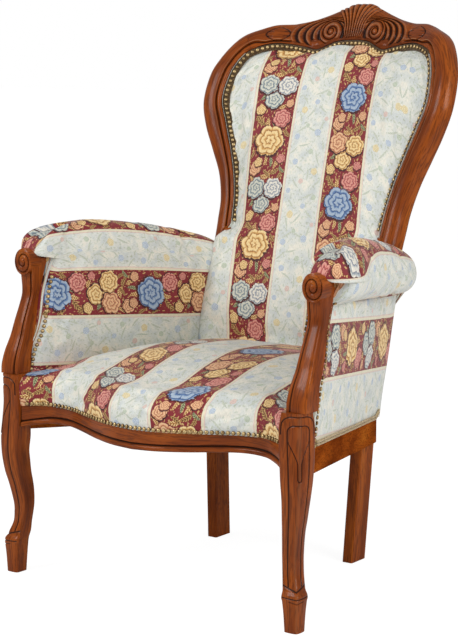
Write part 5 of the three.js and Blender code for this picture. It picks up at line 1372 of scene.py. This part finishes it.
BACK_ROWS, BACK_COLS, MIDDLE = 150, 141, 70
BACK_BOTTOM, ROSE_HEIGHT = 0.352, 0.817
STRIPE_AT_TOP, STRIPE_LEAN, TOP_HEIGHT = 0.133, 0.103, 0.97  # the stripes lean a little over the height
IVORY_END, IVORY_LEAST = 0.312, 0.240  # past the first the cloth's right edge turns back, to keep ivory there
back_face, back_rear = (back_grid(BACK_BOTTOM, inside_half, depth_at, BACK_ROWS, BACK_COLS)
                        for depth_at in (inside_depth, stuffing_depth))
across = lengths(back_face, axis=1)
across -= across[:, MIDDLE:MIDDLE + 1]
back_u = across + STRIPE_AT_TOP - STRIPE_LEAN * (TOP_HEIGHT - back_face[..., 2])
back_v = lengths(back_face, axis=0)
rose_row = int(np.abs(back_face[:, MIDDLE, 2] - ROSE_HEIGHT).argmin())
back_u = np.where(back_u > IVORY_END, np.maximum(2 * IVORY_END - back_u, IVORY_LEAST), back_u)
back_uv = np.stack([back_u, back_v - back_v[rose_row, MIDDLE]], -1)
inside_back = make_piece("inside_back_upholstery", [slab(back_face, back_rear, back_uv)], stripe_cloth,
                         ["inside_back_cover", "back_pad"])
back_held = np.stack([free_middle(BACK_ROWS, BACK_COLS, 10, 10, 4), np.ones((BACK_ROWS, BACK_COLS))])
settle(inside_back, back_held.ravel(), 3.0, 0.006)

# %% [markdown]
# ## The arms
# The cloth runs from the seat up the arm's inner face, over the roll, under it and down the outer panel
# to the side rail. A section is drawn through eighteen points at every depth; a second parameter runs
# from the post to the back stile.

# %% Arms
ARM = [  # depth, top, and the roll's outer and vertical radii, as shares
    (0.045, 0.986, 0.3, 1), (0.125, 0.989, 0.42, 1), (0.185, 0.993, 0.95, 1), (0.26, 0.998, 1.24, 1),
    (0.45, 0.999, 1.17, 1), (0.7, 0.9815, 1.1, 1), (0.86, 0.961, 1.06, 1), (0.985, 0.943, 1.03, 1),
    (1.07, 0.929, 0.93, 0.96), (1.14, 0.918, 0.56, 0.74)]
PAD_FRONT = ([(-0.428, 0.4), (-0.171, 0.55)] + [(row[0], row[2]) for row in POST] + [
    (0.776, 1.35), (0.843, 1.26), (0.8975, 1.43), (0.95, 1.83), (0.981, 2.4), (1.0048, 3.3), (1.095, 4.6)])
PAD_REAR = [(0.4, 1.05), (0.55, 1.062), (0.673, 1.081), (0.777, 1.114), (0.852, 1.135), (0.927, 1.141),
            (1.04, 1.11)]
ROLL_ANGLES = np.radians([180, 140, 105, 70, 30, -10, -45, -80])
TOP_POINT, SEAM_POINT, LAST_POINT = 7.7, 12.3, 17  # the roll's top, its crease and the nail line
ARM_CROWN = 0.010


def arm_section(y):
    """The section's eighteen (x, z) points at each depth y: inner face, roll, outer panel, nail line."""
    share = y / LEG_SPAN
    top, out, up = np.moveaxis(fair(ARM, share), -1, 0)
    inner, centre = arm_inner(y), mix(0.3486, 0.2437, share)
    panel = mix(0.358, 0.240, share) + 0.007 * np.exp(-np.clip(y - 0.05, 0, 1) / 0.035)
    crease, seat_line = 0.569 - 0.034 * share, rail_top(y) + 0.0022
    middle = (ARM_HEIGHT * top + crease) / 2
    rise = (ARM_HEIGHT * top - crease) / 2 * up
    face, nail = side_face(y), rail_top(y) - EDGE + 0.0003
    points = [(inner + 0.25 * ARM_CROWN, seat_line)]
    points += [(inner - ARM_CROWN * swell, mix(seat_line, crease, height))
               for swell, height in ((0.5, 0.15), (1, 0.42), (1, 0.7), (0.6, 0.92))]
    for angle in ROLL_ANGLES:
        reach = np.where(np.cos(angle) < 0, centre - inner + 0.25 * ARM_CROWN, 0.05 * out)
        reach = np.where(np.degrees(angle) > 100, centre - inner + 0.25 * ARM_CROWN, reach)
        points.append((centre + reach * np.cos(angle), middle + rise * np.sin(angle)))
    points += [(panel + 0.2 * ARM_CROWN, middle - rise), (panel, middle - rise - ARM_CROWN),
               (mix(panel, face, 0.45) + 0.3 * ARM_CROWN, mix(crease, nail, 0.45)),
               (mix(panel, face, 0.85) + 0.15 * ARM_CROWN, mix(crease, nail, 0.8)), (face, nail)]
    return np.array([[np.broadcast_to(v, y.shape) for v in point] for point in points]), centre, middle


ARM_AROUND, ARM_ALONG, CAP_ROWS = 150, 110, 4
CLOSER_IN_FRONT = 1.35  # power that draws the rows together near the post
weights = fair_points(np.eye(LAST_POINT + 1), ARM_AROUND)
along = np.linspace(0, 1, ARM_ALONG) ** CLOSER_IN_FRONT
arm_y = np.broadcast_to(mix(0.06, 0.5, along), (ARM_AROUND, ARM_ALONG)).copy()
for _ in range(24):
    points, centre, middle = arm_section(arm_y)
    arm_x, arm_z = np.einsum("sk,kcst->cst", weights, points)
    pad_front = SCROLL_DEPTH * fair(PAD_FRONT, (arm_z - JOINT_HEIGHT) / (ARM_HEIGHT - JOINT_HEIGHT))[..., 0]
    pad_rear = LEG_SPAN * fair(PAD_REAR, arm_z / ARM_HEIGHT)[..., 0]
    arm_y = mix(arm_y, mix(pad_front, pad_rear, along), 0.5)
ROUNDING = 0.012
run = np.clip(ROUNDING - (arm_y - pad_front), 0, ROUNDING)
inset = ROUNDING - np.sqrt(ROUNDING ** 2 - run ** 2)
panel_side = (arm_x > centre) * ease((middle - 0.045 - arm_z) / 0.02)
inset *= mix(1, 0.05, panel_side)
towards = unit(np.stack([centre - arm_x, np.where(arm_z > middle - 0.03, middle - arm_z, 0.0)], -1))
arm_x, arm_z = arm_x + towards[..., 0] * inset, arm_z + towards[..., 1] * inset
arm_grid = np.stack([arm_x, arm_y, arm_z], -1)
spine = mix(0.3235, POST_CENTRE, ease((arm_z[:, :1] - 0.58) / 0.04))
core = np.concatenate([spine, arm_y[:, :1], arm_z[:, :1]], 1)
cap = np.stack([mix(arm_grid[:, 0], core, 1 - k / CAP_ROWS) for k in range(CAP_ROWS)])
cap[..., 1] -= 0.006 * (1 - ((cap[..., 0] - spine[:, 0]) / 0.03) ** 2).clip(0, 1)
surface = np.concatenate([cap, arm_grid.transpose(1, 0, 2)])
floor_line = np.stack([mix(surface[:, -1], surface[:, 0], k) for k in (0.06, 0.5, 0.94)], 1)
floor_line[:, 0] = surface[:, -1] - [0.002, 0, 0]
arm_rings = np.concatenate([surface, floor_line], 1)
around = lengths(arm_grid[:, ARM_ALONG // 2])
top_row, seam_row = (int(round(point / LAST_POINT * (ARM_AROUND - 1))) for point in (TOP_POINT, SEAM_POINT))
BAND_HEIGHT, PANEL_SCALE = 0.497, 0.92  # the outer panel's claret stripe
band_row = int(np.abs(arm_grid[seam_row:, 0, 2] - BAND_HEIGHT).argmin()) + seam_row
around = np.append(around, np.full(arm_rings.shape[1] + 1 - ARM_AROUND, around[-1]))
stripe, panel_stripe = around - around[top_row], PANEL_SCALE * (around - around[band_row])
depth_share = np.append(np.zeros(CAP_ROWS), along)[:, None]
roll_share = mix(0.46, 0.84, ease((arm_rings[:, :1, 1] - 0.07) / 0.16))
arm_u = np.where(stripe > 0, roll_share * stripe, np.broadcast_to(stripe, roll_share.shape[:1] + stripe.shape))
on_panel = np.arange(len(stripe)) > seam_row
arm_u = np.where(on_panel, panel_stripe - mix(0.011, 0.025, depth_share), arm_u)
arm_v = lengths(arm_rings)
arm_v = arm_v - arm_v[CAP_ROWS] + arm_rings[CAP_ROWS, :, 1]
arm_v = np.concatenate([arm_v, arm_v[:, -1:]], 1)
arm_u[:CAP_ROWS] = np.pad(cap[..., 0] - spine[:, 0], ((0, 0), (0, len(stripe) - ARM_AROUND)))
arm_uv = np.stack([arm_u, arm_v], -1)
arm = tube(arm_rings, uv=arm_uv, poles=[(0.303, 0.13, 0.55), arm_rings[-1].mean(axis=0)])
arm_held = np.ones(arm_rings.shape[:2])
arm_held[CAP_ROWS:, :ARM_AROUND] = free_middle(ARM_ALONG, ARM_AROUND, 10, 8, 11)
for side, body in (("right", arm), ("left", mirrored(arm))):
    piece = make_piece(f"arm_upholstery_{side}", [body], stripe_cloth,
                       [f"arm_cover_{side}", f"arm_pad_{side}"])
    settle(piece, np.append(arm_held.ravel(), [1, 1]), 2.0, 0.004)

# %% [markdown]
# ## Nails, braid and gimp
# Close rows of bronzed dome nails hold the cloth along the back's bead, the front rail and both edges of
# the posts. A dark braid lies under the back's nails, and a double twisted cord, the gimp, hides the tacks
# along the side rails. One small dome of 54 faces is laid out along each line at an even pitch.

# %% Dome nails
NAIL_RADIUS, NAIL_RISE, NAIL_PITCH = 0.0040, 0.0026, 0.0098
DOME = np.array([(0.96, -0.5), (1.0, 0.0), (0.93, 0.38), (0.72, 0.72), (0.38, 0.94)])  # radius, height
POLES = (-0.5, 1.0)  # heights of the dome's foot and top


def spaced(points, pitch):
    """Points at an even pitch along a line of points."""
    gone = lengths(points[:, :3])
    at = np.linspace(0, gone[-1], max(2, int(round(gone[-1] / pitch)) + 1))
    return np.stack([np.interp(at, gone, points[:, k]) for k in range(points.shape[1])], -1)


def dome_nails(points, normals, seed):
    """Domes standing on points: each ring is a circle about the normal. One body holds them all."""
    around, count = 9, len(points)
    angle = circle(around)
    side = unit(np.cross(normals, [0.3, 0.2, 1.0]))
    wheel = (side[:, None] * np.cos(angle)[:, None] + np.cross(normals, side)[:, None] * np.sin(angle)[:, None])
    rings = (points[:, None, None] + NAIL_RADIUS * DOME[:, :1, None] * wheel[:, None]
             + NAIL_RISE * DOME[:, 1:, None] * normals[:, None, None])
    poles = points[:, None] + normals[:, None] * NAIL_RISE * np.array(POLES)[:, None]
    each = len(DOME) * around + 2
    shift = (np.arange(count) * each)[:, None, None]
    quads = grid_quads(len(DOME), around, True)[0]
    k = np.arange(around)
    low = np.stack([(k + 1) % around, k, np.full(around, each - 2)], -1)
    last = each - 2 - around
    high = np.stack([last + k, last + (k + 1) % around, np.full(around, each - 1)], -1)
    corners = (quads + shift).reshape(-1, 4)
    tris = (np.concatenate([low, high]) + shift).reshape(-1, 3)
    tone = np.repeat(np.random.default_rng(seed).random(count), each)
    # The height on the dome goes into `grain`, for the highlight painted on the nails' tops.
    height = np.tile(np.append(np.repeat(DOME[:, 1], around), POLES), count)
    return outward({
        "co": np.concatenate([rings.reshape(count, -1, 3), poles], 1).reshape(-1, 3),
        "quads": corners, "tris": tris,
        "hollow": tone, "grain": np.stack([tone, tone, height], -1),
        "quad_uv": np.zeros((len(corners), 4, 2)), "tri_uv": np.zeros((len(tris), 3, 2))})


bronze, graph, shader = new_material("bronzed_nails", Metallic=0.85)
marks = graph.split(graph.attribute("grain", "Vector"))
place = graph.object_place()
# Each nail's own random tone, plus a highlight painted on the top of every dome that grows with the height.
tone_and_painted_glint = graph.plus(graph.times(marks[0], 0.35), graph.step(marks[2], 0.0, 1.0, 0.0, 0.5))
colour = graph.ramp(graph.plus(tone_and_painted_glint, graph.times(graph.noise(place, 900.0), 0.15)),
                    [(0.1, "#2B1D10"), (0.4, "#6F5230"), (0.8, "#C2A878")])
feed(graph, shader, Base_Color=colour, Roughness=graph.step(graph.noise(place, 1400.0), 0.2, 0.8, 0.28, 0.48))

# %% [markdown]
# The back's nails follow the frame's inner edge from waist to waist, and the braid runs under them. The
# front rail's nails follow the serpentine; each leans with the surface that it stands on.

# %% Nail lines
def beside(line):
    """The way to the right of a flat line at each of its points."""
    way = unit(np.gradient(line, axis=0))
    return np.stack([-way[:, 1], way[:, 0]], -1)


WAIST_ROW, NAIL_OFFSET = 2.85, 0.0064  # the row at which the line starts, and its way from the frame's edge
BRAID_PITCH, BRAID_HALF, BRAID_MIDDLE, BRAID_THICK = 0.004, 0.0070, 0.0046, 0.0034
edge_rows = frame_edges(WAIST_ROW, len(FRAME_EDGES) - 1, 600)
edge_line = np.concatenate([edge_rows[:, [1, 0]], edge_rows[-2::-1, [1, 0]] * [-1, 1]])
inner_line = spaced(edge_line + beside(edge_line) * NAIL_OFFSET, NAIL_PITCH)
low, high = (on_back(inner_line[:, 0], inner_line[:, 1], depth) for depth in (0.0010, -0.003))
make_piece("nails_back", [dome_nails(low, unit(high - low), 1)], bronze)
braid_line = spaced(inner_line, BRAID_PITCH)
angle = circle(12)
braid = braid_line[:, None] + beside(braid_line)[:, None] * (BRAID_HALF * np.cos(angle))[:, None]
braid_depth = np.broadcast_to(BRAID_MIDDLE - BRAID_THICK * np.sin(angle), braid.shape[:2])
make_piece("braid_back", [tube(on_back(braid[..., 0], braid[..., 1], braid_depth))], braid_thread)
rail_line = np.linspace(-0.290, 0.290, 400)
rail_line = np.stack([rail_line, rail_front(rail_line) - 0.0028, rail_nail(rail_line) + 0.0044], -1)
rail_line = spaced(rail_line, NAIL_PITCH)
step = 0.002
slope = (rail_front(rail_line[:, 0] + step) - rail_front(rail_line[:, 0] - step)) / (2 * step)
rail_way = unit(np.stack([slope, -np.ones_like(slope), np.full_like(slope, 0.2)], -1))
make_piece("nails_front_rail", [dome_nails(rail_line, rail_way, 2)], bronze)

# %% [markdown]
# Beside each post two rows of nails run up the cloth, one on the inner face and one on the outer panel.
# They stand a little behind the post, on the arm's own surface and along its normal.

# %% Nails beside the posts
OUTER_BEHIND, INNER_BEHIND, NAIL_LIFT = 0.0068, 0.0022, 0.0008
LOWEST_NAIL, HIGHEST_NAIL = 0.37, 0.575
rows = np.arange(ARM_AROUND)
behind = np.where(rows > ARM_AROUND // 2, OUTER_BEHIND, INNER_BEHIND)
reach = np.clip(behind / (pad_rear - pad_front)[:, 0], 0, 1) ** (1 / CLOSER_IN_FRONT) * (ARM_ALONG - 1)
cell, part = np.floor(reach).astype(int), (reach % 1)[:, None]
post_line = mix(arm_grid[rows, cell], arm_grid[rows, cell + 1], part)
swell = np.cross(np.gradient(arm_grid, axis=0), np.gradient(arm_grid, axis=1))
swell = unit(swell[rows, cell + 3])
swell *= np.sign(swell[:, :1] * (post_line[:, :1] - POST_CENTRE))
below_roll, bodies = post_line[:, 2] < HIGHEST_NAIL, []
for chosen in ((rows < 40) & (post_line[:, 2] > LOWEST_NAIL) & below_roll, (rows > 100) & below_roll):
    line = spaced(np.hstack([post_line[chosen] + NAIL_LIFT * swell[chosen], swell[chosen]]), NAIL_PITCH)
    bodies.append(dome_nails(line[:, :3], unit(line[:, 3:]), len(bodies) + 3))
both_sides("nails_post", bodies, bronze)

# %% [markdown]
# The gimp is two cords, one above the other, that turn up at the rear leg.

# %% Gimp
def twisted_cord(path, radius, pitch, around=10):
    """A cord of two strands: the radius waves twice round while the wave turns once in a pitch."""
    gone = lengths(path)[:, None]
    way = unit(np.gradient(path, axis=0))
    side = unit(np.cross(way, [0.0, 0.0, 1.0]))
    angle = circle(around)[None, :]
    size = radius * (1 + 0.13 * np.cos(2 * (angle - 2 * np.pi * gone / pitch)))
    return tube(path[:, None] + side[:, None] * (size * np.cos(angle))[..., None]
                + np.cross(side, way)[:, None] * (size * np.sin(angle))[..., None])


gimp_y = np.linspace(0.036, 0.452, 420)
curl = 0.010 * ease((gimp_y - 0.425) / 0.03)  # by which its end turns up at the rear leg
CORD_RADIUS, CORD_PITCH, CORD_OUT, CORD_LIFTS = 0.0021, 0.007, 0.0036, (0.0014, 0.0064)
paths = [np.stack([side_face(gimp_y) + CORD_OUT, gimp_y, rail_top(gimp_y) - EDGE + lift + curl], -1)
         for lift in CORD_LIFTS]
both_sides("gimp", [twisted_cord(path, CORD_RADIUS, CORD_PITCH) for path in paths], gimp_thread)

# %% [markdown]
# ## Outside back and dust cloth
# Two cloths are stretched flat: the outside back between the frame's rear edges, and a dark dust cloth
# under the seat.


def outside_depth(thickness):
    """The stretched cloth's depth, bowed 5 mm outwards in the middle, less its thickness."""
    return lambda u, v, z, x: BACK_DEPTH + 0.005 * (1 - u * u) * (1 - v ** 4) - thickness


OUTSIDE_BOTTOM = 0.292
outer, inner = (back_grid(OUTSIDE_BOTTOM, opening_half, outside_depth(thickness), 70, 61)
                for thickness in (0.0, 0.0014))
outside = make_piece("outside_back_cloth", [slab(outer, inner, outer[..., [0, 2]])], plain_cloth,
                     ["outside_back_cover"])
dust_u = np.linspace(-1, 1, 41)[None, :]
dust_t = np.linspace(0, 1, 31)[:, None]
DUST_INSET = 0.0195
dust_y = mix(rail_front(dust_u * 0.30) + DUST_INSET, LEG_SPAN, dust_t)
dust_x = dust_u * np.minimum(side_face(dust_y) - DUST_INSET, mix(0.284, 0.34, ease((dust_y - 0.01) / 0.05)))
dust_z = mix(RAIL_TOP - EDGE - SHOW * 0.9 + 0.008, 0.2589, dust_y / LEG_SPAN)
dust_grid = np.stack([dust_x, dust_y, dust_z], -1)
dust = make_piece("dust_cloth", [slab(dust_grid, dust_grid + [0, 0, 0.0012], dust_grid[..., :2])], dust_weave,
                  ["dust_cover"])

# %% [markdown]
# ## Inside the upholstery
# Under the cloth are sawn beech rails, glued blocks, dowels and woven webs. They keep the solids they
# came with, and get raw timber and a striped web cloth on Object coordinates.

# %% Raw timber and webbing
def raw_timber(name, turn, light, dark):
    """Unpolished wood with the polished wood's figure in its own two colours."""
    material, graph, shader = new_material(name, Specular_IOR_Level=0.2)
    grain = graph.turned_place(turn)
    out = graph.group("wood_figure", {"Grain": grain, "Hollow": 0.0})
    bump = graph.bump(out["Height"], 0.3, 0.0006)
    feed(graph, shader, Base_Color=graph.ramp(out["Tone"], [(0.35, dark), (0.75, light)]), Normal=bump,
         Roughness=graph.step(out["Tone"], 0.3, 0.8, 0.62, 0.78))
    return material


def web_cloth(name, turn):
    """Jute web: a coarse plain weave with a brown line every 12 mm."""
    material, graph, shader = new_material(name, Specular_IOR_Level=0.2)
    place = graph.turned_place(turn)
    weave = graph.group("weave", {"Place": place, "Pitch": 0.0022})
    line = graph.step(graph.math("PINGPONG", graph.split(place)[0], 0.006), 0.0052, 0.0056)
    bump = graph.bump(weave["Height"], 0.5, 0.001)
    jute = graph.ramp(weave["Tone"], [(0.3, "#A08C68"), (0.7, "#C4B088")])
    feed(graph, shader, Base_Color=graph.blend(line, jute, paint("#4E3320")),
         Normal=bump, Roughness=graph.step(weave["Tone"], 0.3, 0.7, 0.8, 0.92))
    return material


BEECH = ("#D8B98A", "#B58D5C")
finish(raw_timber("beech_along_x", ALONG_X, *BEECH), "back_lower_rail",
       *pairs("corner_block_front", "corner_block_rear"))
finish(raw_timber("beech_along_y", ALONG_Y, *BEECH), *pairs("arm_top_rail", "arm_stuffing_rail"))
finish(raw_timber("beech_dowel", ALONG_Z, "#E2C79B", "#C6A170"),
       *pairs("post_dowel", "stile_dowel", "crest_dowel"))
finish(web_cloth("seat_web_cloth", ALONG_Z), *(f"seat_web_long_{k}" for k in (1, 2, 3, 4)),
       *(f"seat_web_cross_{k}" for k in (1, 2, 3)))
finish(web_cloth("back_web_cloth", (-np.pi / 2, 0.0, 0.0)), *(f"back_web_{k}" for k in (1, 2, 3)))

# %% [markdown]
# ## Light and floor
# A pale floor and an even, soft light, as in a studio. Rays straight from the camera, or let through, see
# the floor and the backdrop brighter than they light the chair; the floor still takes the chair's shadow.

# %% Studio
def seen_directly(graph):
    """1 for rays from the camera, straight or let through, and 0 for all others."""
    path = graph.node("ShaderNodeLightPath", {}).outputs
    return graph.math("MAXIMUM", path["Is Camera Ray"], path["Is Transmission Ray"])


world = bpy.data.worlds.new("studio")
scene.world = world
world.use_nodes = True
graph = Graph(world.node_tree)
seen = seen_directly(graph)
backdrop = world.node_tree.nodes["Background"]
WHITE, AMBIENT, FLOOR_GLOW = (1, 1, 1, 1), 0.45, 1.21
graph.fill(backdrop, {"Strength": graph.plus(graph.times(seen, 0.55), AMBIENT), "Color": WHITE})


def soft_light(name, place, target, size, power):
    """A square white lamp that faces its target."""
    lamp = bpy.data.lights.new(name, "AREA")
    lamp.size, lamp.energy = size, power
    thing = bpy.data.objects.new(name, lamp)
    thing.location = place
    thing.rotation_euler = (Vector(target) - Vector(place)).to_track_quat("-Z", "Y").to_euler()
    scene.collection.objects.link(thing)


soft_light("key_light", (-1.2, -2.6, 2.6), (0, 0, 0.6), 1.4, 60)
soft_light("side_light", (2.8, -0.6, 1.8), (0, 0, 0.5), 1.4, 46)
floor_mesh = bpy.data.meshes.new("studio_floor")
REACH = 30
floor_mesh.from_pydata([(-REACH, -REACH, 0), (REACH, -REACH, 0), (REACH, REACH, 0), (-REACH, REACH, 0)], [],
                       [(0, 1, 2, 3)])
floor = bpy.data.objects.new("studio_floor", floor_mesh)
scene.collection.objects.link(floor)
floor_paint, graph, shader = new_material("floor_paint", Roughness=0.95, Base_Color=(0.9, 0.9, 0.9, 1),
                                          Specular_IOR_Level=0.1)
seen = seen_directly(graph)
white = graph.node("ShaderNodeEmission", {"Color": WHITE, "Strength": FLOOR_GLOW}).outputs[0]
mixer = graph.node("ShaderNodeMixShader", {0: graph.times(seen, 0.75), 1: shader.outputs[0], 2: white})
graph.tree.links.new(mixer.outputs[0], graph.tree.nodes["Material Output"].inputs["Surface"])
floor_mesh.materials.append(floor_paint)
scene.view_settings.view_transform = "Standard"
